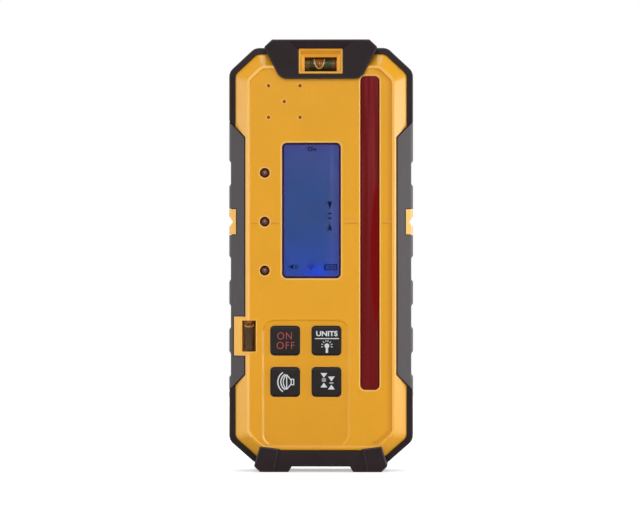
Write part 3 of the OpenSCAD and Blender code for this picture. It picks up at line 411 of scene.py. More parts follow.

# %% [markdown]
# ## Finish makers
# Every finish is one call with its own colour and gloss. A moulded one places both groups, and can
# also be paler with a painted highlight or darker with painted shade: each piece marks these on its
# faces, so the paint follows the real edges. A clear one is glass with faintly uneven gloss.

# %% Finish makers
def new_finish(name):
    """A material with its Principled shader, ready for nodes."""
    made = bpy.data.materials.new(name)
    made.use_nodes = True
    return made, made.node_tree, made.node_tree.nodes["Principled BSDF"]


def placed(tree, group, **given):
    """The outputs of a node group placed in a material with its own values."""
    node = tree.nodes.new("ShaderNodeGroup")
    node.node_tree = group
    feed(tree, node, **given)
    return node.outputs


def mix(tree, factor, a, b, blend="MIX"):
    """A colour mix; each of factor, a and b is a value or a socket."""
    node = tree.nodes.new("ShaderNodeMix")
    node.data_type, node.blend_type = "RGBA", blend
    for socket, value in zip((node.inputs["Factor"], node.inputs[6], node.inputs[7]), (factor, a, b)):
        put(tree, socket, value)
    return node.outputs[2]


def attribute(tree, title):
    """A face attribute of the piece, 0 where it has none."""
    node = tree.nodes.new("ShaderNodeAttribute")
    node.attribute_name = title
    return node.outputs["Fac"]


GRAIN_DEPTH = 0.00004  # metres, as the bump node wants


def moulded(name, colour, rough, grain=3000.0, bump=0.15, patch=60.0, shade=0.06, gloss=0.05,
            scuff=0.3, pale=(0.6, 0.5, 0.4), metallic=0.0, specular=0.5, edge=None, painted_shade_colour=None):
    """A grained finish: colour times shade, painted shade and painted highlights where a piece marks its
    faces, pale scuffs over it, patchy gloss and grain as a bump. edge is the painted highlight's colour."""
    made, tree, bsdf = new_finish(name)
    use = placed(tree, GRAIN, Grain=grain, Patch=patch, Shade=shade, Gloss=gloss)
    scuffed = placed(tree, SCUFFS, Amount=scuff)["Mask"]
    shaded = mix(tree, 1.0, colour, use["Shade"], "MULTIPLY")
    # Painted shade and painted highlight: colours mixed in on the faces that each piece marks.
    if edge:
        shaded = mix(tree, attribute(tree, "painted_shade"), shaded, painted_shade_colour or colour)
        shaded = mix(tree, attribute(tree, "painted_light"), shaded, edge)
    relief = new_node(tree, "Bump", Strength=bump, Distance=GRAIN_DEPTH, Height=use["Height"])
    feed(tree, bsdf, Base_Color=mix(tree, scuffed, shaded, pale), Metallic=metallic,
         Roughness=maths(tree, "ADD", use["Gloss"], rough), Normal=relief.outputs["Normal"],
         Specular_IOR_Level=specular)
    return made


def clear(name, colour, rough, ior, smear=0.05):
    """A see-through finish with faintly uneven gloss."""
    made, tree, bsdf = new_finish(name)
    patches = noise(tree, object_place(tree), 90.0)
    feed(tree, bsdf, Base_Color=colour, Roughness=remap(tree, patches, 0.4, 0.7, rough, rough + smear),
         IOR=ior, Transmission_Weight=1.0)
    return made


# %% Moulded, rubber and metal finishes
# The edge colour is a painted highlight, and the second, darker colour a painted shade.
yellow = moulded("case_yellow", (0.80, 0.365, 0.006), 0.30, grain=2600, bump=0.10, shade=0.05,
                 scuff=0.10, pale=(0.9, 0.62, 0.25), specular=0.36, edge=(0.98, 0.57, 0.15),
                 painted_shade_colour=(0.64, 0.24, 0.002))
# Its edge colour is a painted highlight on rolled edges.
black = moulded("bumper_black", (0.0225, 0.0135, 0.0155), 0.50, grain=1800, bump=0.3, shade=0.25,
                scuff=0.25, pale=(0.07, 0.06, 0.06), specular=0.12, patch=90, edge=(0.06, 0.05, 0.05))
grey = moulded("grip_grey", (0.068, 0.059, 0.062), 0.50, grain=1500, bump=0.35, shade=0.12,
               scuff=0.2, pale=(0.16, 0.15, 0.15), specular=0.35, patch=80)
key_black = moulded("key_black", (0.012, 0.0085, 0.0085), 0.40, grain=2200, bump=0.15, shade=0.2,
                    scuff=0.15, pale=(0.06, 0.06, 0.06), specular=0.18)
seal_black = moulded("seal_black", (0.012, 0.008, 0.014), 0.6, grain=2500, bump=0.2, shade=0.2, scuff=0.0,
                     specular=0.1)
# Its edge colour is a painted glint on the dome's tip.
lamp = moulded("lamp_resin", (0.150, 0.045, 0.036), 0.16, grain=900, bump=0.05, shade=0.5, scuff=0.0,
               patch=900, edge=(0.20, 0.13, 0.13))
steel = moulded("zinc_steel", (0.52, 0.52, 0.51), 0.34, grain=2600, bump=0.1, shade=0.15, scuff=0.2,
                pale=(0.7, 0.7, 0.7), metallic=1.0)
nickel = moulded("nickel_contact", (0.66, 0.64, 0.60), 0.28, grain=2200, bump=0.06, shade=0.1, scuff=0.2,
                 pale=(0.8, 0.8, 0.8), metallic=1.0)
# Its darker colour is a painted shade down the bore.
brass = moulded("insert_brass", (0.72, 0.50, 0.20), 0.3, grain=2600, bump=0.08, shade=0.15, scuff=0.2,
                pale=(0.85, 0.7, 0.4), metallic=1.0, edge=(0.80, 0.60, 0.30), painted_shade_colour=(0.10, 0.065, 0.022))
board = moulded("board_green", (0.015, 0.12, 0.045), 0.35, grain=900, bump=0.1, shade=0.2, scuff=0.0)
resin = moulded("chip_resin", (0.016, 0.016, 0.018), 0.5, grain=2500, bump=0.2, shade=0.2, scuff=0.0)
plunger = moulded("plunger_plastic", (0.62, 0.60, 0.52), 0.45, grain=2500, bump=0.1, scuff=0.0)
diffuser = moulded("diffuser_milk", (0.72, 0.76, 0.80), 0.5, grain=1200, bump=0.05, scuff=0.0)
sleeve = moulded("cell_sleeve", (0.035, 0.055, 0.085), 0.28, grain=700, bump=0.04, shade=0.12, scuff=0.2,
                 pale=(0.2, 0.22, 0.25), patch=70)
print("finishes:", len(bpy.data.materials))

# %% [markdown]
# ## The case's outline
# The housing has eight sides, and the front cover's section is a skirt, a wide sloped band, a
# narrow rim and a sunk panel. The section is a path of (distance inside the bumper's outer face,
# depth), rolled at its corners and carried round the outline. The bumper's corners are a little
# rounder than the cover's, and the rim hangs lower at the bottom, so both follow the distance too.

# %% Sizes of the case
HALF_W, LOW, TOP = 36.8, 2.9, 169.5
CORNER_W, CORNER_H, LOW_W, LOW_H = 10.3, 9.6, 10.9, 9.6
OUTER_R, COVER_R, INSIDE_R = 4.5, 3.6, 1.2
DROOP, DROOP_SPAN = 1.5, (10, 26)
CREST_Y, PANEL_Y, BACK_Y, BUMPER_Y = -13.6, -13.0, 14.5, 8.6
BUMPER_T, BUMPER_LIP, BACK_RIM = 2.4, 2.55, 6.4
RIM_OUT, RIM_TOP, PANEL_IN, PANEL_FLAT = 7.45, 8.35, 8.75, 10.6
PANEL_RINGS = (PANEL_FLAT, 10.1, 9.6, 9.1)
HOUSING = np.array([[LOW_W - HALF_W, LOW], [HALF_W - LOW_W, LOW],
                    [HALF_W, LOW + LOW_H], [HALF_W, TOP - CORNER_H],
                    [HALF_W - CORNER_W, TOP], [CORNER_W - HALF_W, TOP],
                    [-HALF_W, TOP - CORNER_H], [-HALF_W, LOW + LOW_H]])


def housing_loop(d, r=None):
    """The housing's outline d inside the bumper's face: corners follow the distance, and the rim's lower
    part hangs down by DROOP, which fades out upwards and outwards."""
    if r is None:
        r = np.interp(d, [0, BUMPER_LIP], [OUTER_R, COVER_R])
    loop = rounded(inset(HOUSING, d), r)
    lower = np.interp(loop[:, 1], DROOP_SPAN, [1, 0])
    loop[:, 1] -= DROOP * lower * np.interp(d, [BUMPER_LIP, RIM_OUT], [0, 1])
    return loop


def housing_rows(profile, r=None):
    """The outline at each (distance, depth) of a profile."""
    return [at_depth(housing_loop(d, r), y) for d, y in profile]


FRONT_PATH = soften([(PANEL_RINGS[-1], PANEL_Y), (PANEL_IN, PANEL_Y), (RIM_TOP, CREST_Y), (RIM_OUT, CREST_Y),
                     (BUMPER_T, -BUMPER_Y), (BUMPER_T, 0)], [0.3, 0.2, 0.6, 0.5])
FRONT_PATH = np.concatenate([[(d, PANEL_Y) for d in PANEL_RINGS[:-1]], FRONT_PATH])
REAR_PATH = soften([(9.0, BACK_Y), (BACK_RIM, BACK_Y), (BUMPER_T, BUMPER_Y), (BUMPER_T, 0)], [0.9, 0.5])
FRONT_INSIDE = [(4.6, 0), (4.6, -7.95), (7.45, -10.8), (11.2, -10.8)]
REAR_INSIDE = [(4.6, 0), (4.6, 7.9), (7.5, 12.3), (11.2, 12.3)]


def case_core(name):
    """The whole case as one plain block, bumper band included, to cut the cap and the feet to fit."""
    band = [(0.0, -BUMPER_Y), (0.0, BUMPER_Y)]
    rows = housing_rows(FRONT_PATH[:-1]) + housing_rows(band) + housing_rows(REAR_PATH[-2::-1])
    return shape(name, skin(rows))


print("sections:", len(FRONT_PATH), "points in front,", len(REAR_PATH), "behind")

# %% [markdown]
# ## Grips
# A grip is one rubber section carried along the side, with slanted ends and shallow finger
# scallops. Its rows are level where the scallops are, and are held between the slanted ends, so
# one grid makes the whole form. The windows for the notched lugs and the side vial are cut out.

# %% Sizes of the grips
GRADE_Z = 99.9
GRIP_W, GRIP_LOW, GRIP_HIGH, SLANT = 6.4, 31.9, 140.5, 6.6
GRIP_IN = HALF_W - GRIP_W
TIP_Y, TIP_T, SEAT_Y, HEEL_Y = -12.75, 1.0, 7.8, BACK_Y - 1.1
GRIP_SECTION = np.array([[GRIP_IN, TIP_Y], [HALF_W, -BUMPER_Y], [HALF_W, BUMPER_Y],
                         [GRIP_IN, BACK_Y - 0.1], [GRIP_IN, HEEL_Y], [HALF_W - BUMPER_T, SEAT_Y],
                         [HALF_W - BUMPER_T, -SEAT_Y], [GRIP_IN, TIP_Y + TIP_T]])
GRIP_RADII = np.array([0.33, 2.4, 2.4, 0.33, 0.3, 0.6, 0.6, 0.3])
SCALLOP_STEP, SCALLOP_LIFT = 19.1, 0.3
SCALLOPS = GRADE_Z + SCALLOP_LIFT + SCALLOP_STEP * np.array([-3, -2, -1, 1])
SCALLOP_AWAY, SCALLOP_DEEP = np.array([4.1, 4.35, 5.1, 5.4]), [0.7, 0.62, 0.08, 0.0]
END_ROLL, END_GAP, BED_GAP = [(0.2, 0.0), (0.06, 0.06), (0.0, 0.2)], 0.6, 0.05
LUG_X, LUG_H, NOTCH_H, NOTCH_D = HALF_W - 2.8, 10.0, 4.4, 1.6
TAB_X, TAB_H, SIDE_VIAL = HALF_W - 2.0, 15.6, np.array([-28.7, -10.0, 54.2])
FLIP = {1: np.array([1, 1, 1]), -1: np.array([-1, 1, 1])}
print("scallops at heights:", SCALLOPS.round(1))

# %% Grip rows
def slant(x):
    """How far a grip's end has moved in at x."""
    return (HALF_W - x) * SLANT / GRIP_W


def scallop_x(z):
    """The outermost x allowed at height z: flat floors with straight ramps at both ends."""
    away = np.abs(z[:, None] - SCALLOPS).min(1)
    return HALF_W - np.interp(away, SCALLOP_AWAY, SCALLOP_DEEP)


def grip_ends(loop, gap):
    """A section laid along the grip's slanted low end and along its high end, gap inside each."""
    move = slant(loop[:, 0]) + gap
    return [np.insert(loop, 2, z, axis=1) for z in (GRIP_LOW + move, GRIP_HIGH - move)]


def grip_rows():
    """Grip rows: section inset near the ends for a rolled edge, x held to the scallops, z to the ends."""
    ramps = (SCALLOPS[:, None] + np.concatenate([-SCALLOP_AWAY[::-1], SCALLOP_AWAY])).ravel()
    level = np.sort(np.concatenate([ramps, np.linspace(45, 128, 12)]))
    rolled = [grip_ends(rounded(inset(GRIP_SECTION, d), np.maximum(GRIP_RADII - d, 0.08)), END_GAP + step)
              for d, step in END_ROLL]
    loop = rounded(GRIP_SECTION, GRIP_RADII)
    low, high = (end[:, 2] for end in grip_ends(loop, END_GAP + END_ROLL[-1][1]))
    x = np.minimum(loop[:, 0], scallop_x(level)[:, None])
    middle = np.stack([x, np.broadcast_to(loop[:, 1], x.shape), np.clip(level[:, None], low, high)], -1)
    return np.concatenate([[end[0] for end in rolled], middle, [end[1] for end in rolled[::-1]]])


print("grip rows, columns and axes:", grip_rows().shape)

# %% Grips with windows and beds
def lug_window(side, gap):
    """The box that a notched lug takes out of a grip."""
    x = sorted([side * (LUG_X - gap), side * (HALF_W + 1)])
    return box(x, (-REACH, REACH), span(GRADE_Z, LUG_H / 2 + gap))


def tab_box(gap):
    """The box of the side vial's tab, in the left grip's front half."""
    return box((-TAB_X - gap, 1 - GRIP_IN), (-REACH, 0), span(SIDE_VIAL[2], TAB_H / 2 + gap))


def grip_bed():
    """The black bed under a grip, which fills the gaps at its slanted ends and its inner edge; its near-black
    also stands in for the shade in those gaps.
    """
    inner_x, outer_x, out_y, seat_x = GRIP_IN - 0.25, HALF_W - 0.9, BUMPER_Y - 0.3, HALF_W - BUMPER_T + 0.02
    loop = np.array([[inner_x, TIP_Y + 0.55], [outer_x, -out_y], [outer_x, out_y], [GRIP_IN, BACK_Y - 0.6],
                     [GRIP_IN, BACK_Y - 1.08], [seat_x, SEAT_Y], [seat_x, -SEAT_Y],
                     [inner_x, TIP_Y + TIP_T + 0.03]])
    wide = loop.copy()
    wide[1:3, 0] = HALF_W - 0.2
    move = slant(wide[:, 0]) + BED_GAP
    steps = [(wide, 0.0), (wide, 1.6), (loop, 2.2)]
    low = [np.insert(form, 2, GRIP_LOW + move + step, axis=1) for form, step in steps]
    high = [np.insert(form, 2, GRIP_HIGH - move - step, axis=1) for form, step in steps[::-1]]
    return np.array(low + high)


GRIP_LAYERS = [("form", grip_rows(), 0.3, grey), ("bed", grip_bed(), BED_GAP, seal_black)]
for side, name in ((1, "right_grip"), (-1, "left_grip")):
    for title, rows, gap, finish in GRIP_LAYERS:
        grip = shape(f"{name}_{title}", skin(rows * FLIP[side]))
        cut(grip, *([lug_window(side, gap)] + ([tab_box(gap)] if side < 0 else [])))
        dress(grip, finish, replaces=[name] if title == "form" else ())

# %% [markdown]
# ## Bumpers
# Two rubber bands run round the ends of the case, from grip to grip. The band's section is a
# rectangle with rolled outer edges and a thin lip over the cover. It is carried along half of the
# housing's outline, and its last rows are sheared to lie along the slanted ends of the grips.

# %% Bumpers
BAND = rounded([(0.0, -BUMPER_Y), (BUMPER_LIP - 0.15, -BUMPER_Y - 0.6), (BUMPER_LIP, -BUMPER_Y - 0.45),
                (BUMPER_T, -BUMPER_Y + 0.1), (BUMPER_T, BUMPER_Y), (0.0, BUMPER_Y)],
               [0.9, 0.1, 0.05, 0.05, 0.1, 0.9], 5)
PER_CORNER = 7


def bumper(upper):
    """Grid of section points against path points: outline arcs of four corners between sheared ends."""
    lines = []
    for d, y in BAND:
        loop, x = housing_loop(d), HALF_W - d
        if upper:
            arcs, z, way = loop[3 * PER_CORNER:7 * PER_CORNER], GRIP_HIGH - slant(x), 1
        else:
            arcs, z, way = np.roll(loop, PER_CORNER, 0)[:4 * PER_CORNER], GRIP_LOW + slant(x), -1
        lines.append(at_depth(np.concatenate([[[way * x, z]], arcs, [[-way * x, z]]]), y))
    return skin(np.array(lines).transpose(1, 0, 2))


for name, upper in (("upper_bumper", True), ("lower_bumper", False)):
    form = shape(name + "_form", bumper(upper))
    # Painted highlight along the bumper's rolled edges.
    mark(form, "painted_light", lambda c, n: 0.6 * leaning(n, 0.2, 0.9))
    dress(form, black, replaces=[name])

# %% [markdown]
# ## Front cover
# The cover is a shell: the outer path, and an inner one a wall's thickness behind it. Lugs, the
# side vial's tab and the small grade rib are joined on. Then the seats of the grips, the keypad's
# recess and every opening are cut, each with the flared cutter that leaves a rolled lip.

# %% Front cover shell with lugs and tab
SEAT_GAP = 0.1


def grip_seat(side, gap):
    """Everything in front of, outside and behind the seat that a grip lies in."""
    far, edge, front_edge = HALF_W + 3, GRIP_IN - 0.02, GRIP_IN - 0.3
    loop = np.array([[front_edge, -REACH], [far, -REACH], [far, REACH], [edge, REACH], [edge, HEEL_Y],
                     [HALF_W - BUMPER_T, SEAT_Y], [HALF_W - BUMPER_T, -SEAT_Y],
                     [front_edge, TIP_Y + TIP_T + 0.05]])
    return skin(np.array(grip_ends(loop, -gap)) * FLIP[side])


def lugs(y):
    """Both notched lugs in a range of depth: the grip's section outside LUG_X, less a V."""
    made, flare = [], NOTCH_H * (NOTCH_D + 1) / NOTCH_D / 2
    for side in (-1, 1):
        section = rounded(GRIP_SECTION, GRIP_RADII) * FLIP[side][:2]
        lug = shape("lug", prism(section, *span(GRADE_Z, LUG_H / 2)))
        keep(lug, box(sorted([side * LUG_X, side * 40]), y, span(GRADE_Z, LUG_H)))
        low, high = span(GRADE_Z, flare)
        vee = np.array([[HALF_W - NOTCH_D, GRADE_Z], [HALF_W + 1, low], [HALF_W + 1, high]])
        made.append(cut(lug, slab(vee * FLIP[side][:2], -REACH, REACH)))
    return made


front = shape("front_cover_form", skin(housing_rows(FRONT_PATH) + housing_rows(FRONT_INSIDE, INSIDE_R)))
cut(front, grip_seat(1, SEAT_GAP))
cut(front, grip_seat(-1, SEAT_GAP))
carve(front, "UNION", *lugs((-REACH, 0)))
tab_section = GRIP_SECTION.copy()
tab_section[[0, 7], 0] -= 0.6
tab = shape("tab", prism(rounded(tab_section, GRIP_RADII) * FLIP[-1][:2], *span(SIDE_VIAL[2], TAB_H)))
keep(tab, tab_box(0.0))
carve(front, "UNION", tab)
print("front cover so far:", len(front.data.polygons), "faces")

# %% [markdown]
# ## Openings of the front cover
# Each opening has a lip of its own kind on the real cover: the keypad's recess slopes in gently,
# windows sit in stepped pockets, keys and lights in plain holes. The side vial's window crosses the
# rim, so its cutter is a loop laid on the front. Lips and rim get a painted highlight, floors painted shade.

# %% Openings of the front cover
RECESS = dict(x=-6.0, z=35.55, w=34.4, h=50.2, r=4.4)
RECESS_Y, GROOVE_Y = -12.4, -12.75
LENS = dict(x=-3.74, z=104.35, w=23.3, h=53.9, r=1.8)
LASER = dict(x=19.6, z=95.4, w=7.35, h=125.0, r=1.8)
KEYS = [("power", -14.25, 52.4), ("units", 2.25, 52.4), ("sound", -14.25, 35.9), ("accuracy", 2.25, 35.9)]
KEY_W, KEY_R, KEY_GAP = 11.8, 1.6, 0.1
LED_X, LEDS, LED_HOLE_R = -22.4, GRADE_Z + 19.5 * np.array([-1, 0, 1]), 1.95
SOUNDER, HOLE_STEP, HOLE_R = np.array([-14.6, 147.9]), 6.3, 0.65
HOLES = SOUNDER + HOLE_STEP * np.array([(0, 0), (1, 1), (1, -1), (-1, 1), (-1, -1)])
SIDE_W, SIDE_H, POCKET_R, POCKET_Z = 5.6, 12.4, 2.7, (47.3, 61.1)
RIB_SPANS = [(-28.2, -24.9), (-19.9, -16.4), (9.0, 14.9), (24.2, 28.2)]
LEDGE, LEDGE_Y, THROUGH_Y = 1.2, -11.4, -8.0


def window_mouth(lip, x, z, w, h, r):
    """A window's pocket with its ledge: rolled lip, wall, then a step in to the opening behind."""
    step = [(LEDGE, LEDGE_Y), (LEDGE, THROUGH_Y)]
    return pad_mouth(x, z, w + 0.2, h + 0.2, r + 0.1, PANEL_Y, LEDGE_Y, lip, step)


def side_window(grow, sink, count=24):
    """The side vial's window as a loop laid on the front: its depth follows tab, rim and panel along x,
    and sink moves it further in."""
    half = np.array([SIDE_W, SIDE_H]) / 2 + grow
    x = np.linspace(-half[0], half[0], count)
    loop = np.concatenate([np.stack([x, 0 * x - half[1]], 1), np.stack([x[::-1], 0 * x + half[1]], 1)])
    loop += SIDE_VIAL[[0, 2]]
    inside = [2.0, GRIP_W, RIM_OUT, RIM_TOP, PANEL_IN]
    depth = np.interp(HALF_W + loop[:, 0], inside, [-9.9, TIP_Y, CREST_Y, CREST_Y, PANEL_Y])
    return np.insert(loop, 1, depth + sink, axis=1)


side_x, side_y = SIDE_VIAL[:2]
key_hole = KEY_W + KEY_GAP
fuse(front, *[slab(pad((a + b) / 2, GRADE_Z, b - a, 0.7, 0.25), PANEL_Y - 0.2, -12) for a, b in RIB_SPANS])
fuse(front, box((side_x - 3.1, side_x + 3.7), (-11.0, -6.5), (POCKET_Z[0] - 1, POCKET_Z[1] + 1)))
cut(front, *[slab(rect((a + b) / 2, GRADE_Z - 0.6, b - a - 0.2, 0.36), -REACH, GROOVE_Y)
             for a, b in RIB_SPANS])
cut(front, pad_mouth(**RECESS, y=PANEL_Y, end=RECESS_Y, lip=0.5, steep=42))
cut(front, *[pad_mouth(x, z, key_hole, key_hole, KEY_R, RECESS_Y, THROUGH_Y, 0.25) for _, x, z in KEYS],
    window_mouth(0.7, **LENS), window_mouth(0.7, **LASER),
    *[ring_mouth(LED_X, z, LED_HOLE_R, PANEL_Y, THROUGH_Y, 0.6) for z in LEDS],
    *[ring_mouth(x, z, HOLE_R, PANEL_Y, THROUGH_Y, 0.5) for x, z in HOLES],
    box((-8.9, 8.9), (-REACH, -6.5), (158.8, 175)))
opening = at_depth(side_window(0.0, 0.0)[:, [0, 2]], side_y)
cut(front, skin([side_window(0.95, -0.6), side_window(0.0, 0.35), opening]))
cut(front, lathe([(POCKET_R, z) for z in POCKET_Z], (side_x, side_y, 0), "z"))
cut(front, box(span(side_x, POCKET_R), (side_y, -5), POCKET_Z))
print("front cover with its openings:", len(front.data.polygons), "faces")

# %% Painted highlights and painted shade of the front cover
def inside_housing(points):
    """How far each point lies inside the housing's outline: its least distance from the eight sides."""
    along = unit(np.roll(HOUSING, -1, 0) - HOUSING)
    return ((points[:, None] - HOUSING) * inward(along)).sum(-1).min(1)


def outside_pad(points, x, z, w, h, r=0.0):
    """How far each point lies outside a pad's sides, across and along, negative inside it; its corner
    radius r plays no part."""
    return np.abs(points - np.array([x, z])) - np.array([w, h]) / 2


def front_painted_highlights(c, n):
    """Painted highlight: full on the lips of openings and round the side window, less on the sounder's holes
    and along the recess; most on the rim, more on its left; a painted sheen of the side lights on the sloped
    sides; a trace on the ribs."""
    x, y, z = c.T
    plan, left = c[:, [0, 2]], x < 0
    deep = inside_housing(plan)
    lips = leaning(n) & (deep > RIM_TOP) & (y > PANEL_Y + 0.004) & (y < -12.2)
    out = outside_pad(plan, **RECESS)
    corner = np.hypot(*np.maximum(out + RECESS["r"] - 0.4, 0).T) > 2.8
    sloped = (np.abs(out.max(1)) < 1.2) | ((out.max(1) < 1.2) & corner)
    holes = np.hypot(*(plan - SOUNDER).T) < 12
    lower = np.where(x < RECESS["x"], np.clip((46 - z) / 16, 0, 1), 0.35 * (z < 58))
    lip_highlight = np.where(sloped, lower, np.where(holes, 0.7, 1.0)) * lips
    # Painted highlight on the rim's crest, more on its left.
    rim = (deep > RIM_OUT - 0.3) & (deep < RIM_TOP + 0.1) & (y < -13.2)
    flank = (deep < RIM_OUT) & (n[:, 1] < -0.3) & (y < -BUMPER_Y + 0.2)
    # Painted sheen of the side lights on the sloped bands, more on the left, more still on the tab and lugs.
    pale = np.where(left, 0.38, 0.28) * np.clip((np.abs(n[:, 0]) - 0.54) / 0.14, 0, 1)
    tab = (x < -GRIP_IN) & (np.abs(z - SIDE_VIAL[2]) < TAB_H / 2 + 0.1)
    lug = (np.abs(x) > LUG_X) & (np.abs(z - GRADE_Z) < LUG_H / 2 + 0.1)
    pale = np.where(tab | lug, 0.6, pale) * flank
    ribs = (np.abs(z - GRADE_Z) < 0.5) & (deep > RIM_TOP + 0.3) & (y < PANEL_Y - 0.1)
    away = outside_pad(plan, SIDE_VIAL[0], SIDE_VIAL[2], SIDE_W, SIDE_H).max(1)
    trim = (away > 0) & (away < 0.4) & leaning(n, 0.4, 0.9)
    return np.maximum.reduce([lip_highlight, np.where(left, 0.8, 0.5) * rim, 0.15 * ribs, 0.9 * trim, pale])


def front_painted_shade(c, n):
    """Painted shade: a trace in the recess, the grooves under the ribs, and a painted shadow of the rim along
    its right side that fades out over the panel."""
    deep = inside_housing(c[:, [0, 2]])
    band = (c[:, 0] > 20) & (deep > RIM_TOP) & (np.abs(c[:, 1] - PANEL_Y) < 0.5)
    recess = (n[:, 1] < -0.98) & (np.abs(c[:, 1] - RECESS_Y) < 0.05)
    groove = np.abs(c[:, 1] - GROOVE_Y) < 0.02
    return np.maximum(0.12 * recess + 0.6 * groove, band * np.interp(deep, [9.0, PANEL_FLAT], [0.7, 0]))


# Painted highlights and sheen on lips, rim and sloped bands; painted shade in floors, grooves and by the rim.
mark(front, "painted_light", front_painted_highlights)
mark(front, "painted_shade", front_painted_shade)
dress(front, yellow, replaces=["front_cover"])

# %% Mesh behind the sounder holes
# Partly painted light: a mesh patch behind each sounder hole, whose amber stands in for the dim light inside
# the holes.
mesh_amber = moulded("sounder_mesh", (0.36, 0.115, 0.004), 0.7, grain=2500, bump=0.4, shade=0.2,
                     scuff=0.0, specular=0.1)
MESH_PATH = [(AXIS_R, -12.6), (0.4, -12.58), (HOLE_R, -12.5), (HOLE_R, -12.1), (AXIS_R, -12.1)]
dots = shape("sounder_mesh", *[lathe(MESH_PATH, (x, 0, z), "y", 20) for x, z in HOLES])
dress(dots, mesh_amber)

# %% [markdown]
# ## Cap and bottom bumper
# Both are thick rubber mouldings that hug the case: an outline in the front view, carried from
# front to back with rolled edges, from which the plain block of the case is cut away. The cap has
# a sunk hood above the vial, and the bottom bumper a sunk band between its two feet.

# %% Cap
FRONT_Y, REAR_Y = -15.2, 15.2


def moulding(points, radii, roll, name):
    """An outline carried through the depth, its front and back edges rolled."""
    path = soften([(4.0, FRONT_Y), (0.0, FRONT_Y), (0.0, REAR_Y), (4.0, REAR_Y)], [roll, roll], 6)
    return shape(name, skin([at_depth(rounded(inset(points, d), np.maximum(np.asarray(radii) - d, 0.06)), y)
                             for d, y in path[1:-1]]))


CAP = [(-16.2, 156.9), (16.2, 156.9), (22.7, 169.5), (19.4, 172.6), (-19.4, 172.6), (-22.7, 169.5)]
cap = moulding(CAP, [4.5, 4.5, 0.9, 0.9, 0.9, 0.9], 0.75, "top_cap_form")
carve(cap, "DIFFERENCE", case_core("core"))
HOLDER_Z, HOLDER_W, HOLDER_H, HOLDER_GAP = 163.9, 17.6, 10.0, 0.1
cut(cap, pad_mouth(0, HOLDER_Z, HOLDER_W + 2 * HOLDER_GAP, HOLDER_H + 2 * HOLDER_GAP, 0.5, FRONT_Y, 0, 0.3))
HOOD = np.array([[(14.4, -1, 172.0), (9.6, -1, 168.7)], [(12.6, 0, 171.9), (8.9, 0.75, 168.8)]])
hood = np.stack([HOOD[:, 0] * FLIP[-1], HOOD[:, 0], HOOD[:, 1], HOOD[:, 1] * FLIP[-1]], 1)
cut(cap, skin(hood + np.array([0, FRONT_Y, 0])))
# Painted highlight along the cap's rolled front edges.
mark(cap, "painted_light", lambda c, n: 0.4 * (leaning(n, 0.3, 0.97) & (c[:, 1] < -14)))
dress(cap, black, replaces=["top_cap"])

# %% Bottom bumper
FOOT = np.array([(11.7, 2.2), (12.9, 0), (24.2, 0), (26.7, 2.4), (24.3, 10.3), (16.6, 9.2), (16.0, 8.6)])
FOOT_RADII = [0.4, 0.4, 0.5, 0.8, 0.7, 0.2, 0.2]
feet = moulding(np.concatenate([FOOT, FOOT[::-1] * [-1, 1]]), FOOT_RADII + FOOT_RADII[::-1], 0.6,
                "bottom_bumper_form")
carve(feet, "DIFFERENCE", case_core("core"))


def band_loop(d):
    """The sunk band's outline between the feet, wider at the bottom, moved inwards by d."""
    return rounded(inset([(-19.4, -3), (19.4, -3), (15.8, 14), (-15.8, 14)], d), 0.3)


cut(feet, mouth(band_loop, FRONT_Y, FRONT_Y + 0.9, 0.35))
# Painted highlight along the feet's rolled front edges.
mark(feet, "painted_light", lambda c, n: leaning(n, 0.3, 0.97) & (c[:, 1] < -13.9))
dress(feet, black, replaces=["bottom_bumper"])

# %% [markdown]
# ## Windows and display
# The display is a clear pane over a blue liquid-crystal glass, with a dark printed border, and
# the laser window is a red filter. The panes are pads with rolled edges. The laser window is a
# little crowned across its width, as a light-gathering window is, so that highlights run along it.

# %% Panes
PANE_Y, PANE_BACK_Y = -12.8, -11.6


def pane(x, z, w, h, r, roll=0.2, crown=0.0):
    """A pad with rolled front edges whose face rises by crown (1 - (s/half)^2) across its width."""
    path = soften([(0.0, -12.0), (0.0, PANE_Y), (2.0, PANE_Y)], [roll], 4)[1:]
    rows = [at_depth(pad(x, z, w, h, r, d), y) for d, y in [(0.0, PANE_BACK_Y), *path]]
    rows += [at_depth(pad(x, z, w * share, h - w * (1 - share), 0.3 * w * share), PANE_Y)
             for share in (0.62, 0.42, 0.22, 0.06)]
    rows = np.array(rows)
    rows[3:, :, 1] -= crown * np.clip(1 - ((rows[3:, :, 0] - x) / (w / 2)) ** 2, 0, 1)
    return skin(rows)


print("points of the laser window:", len(pane(**LASER)[0]))

# %% Finishes of the display and the laser window
def off_from(tree, place, middle):
    """The distance of one coordinate from a middle, in metres."""
    return maths(tree, "ABSOLUTE", maths(tree, "SUBTRACT", place, middle))


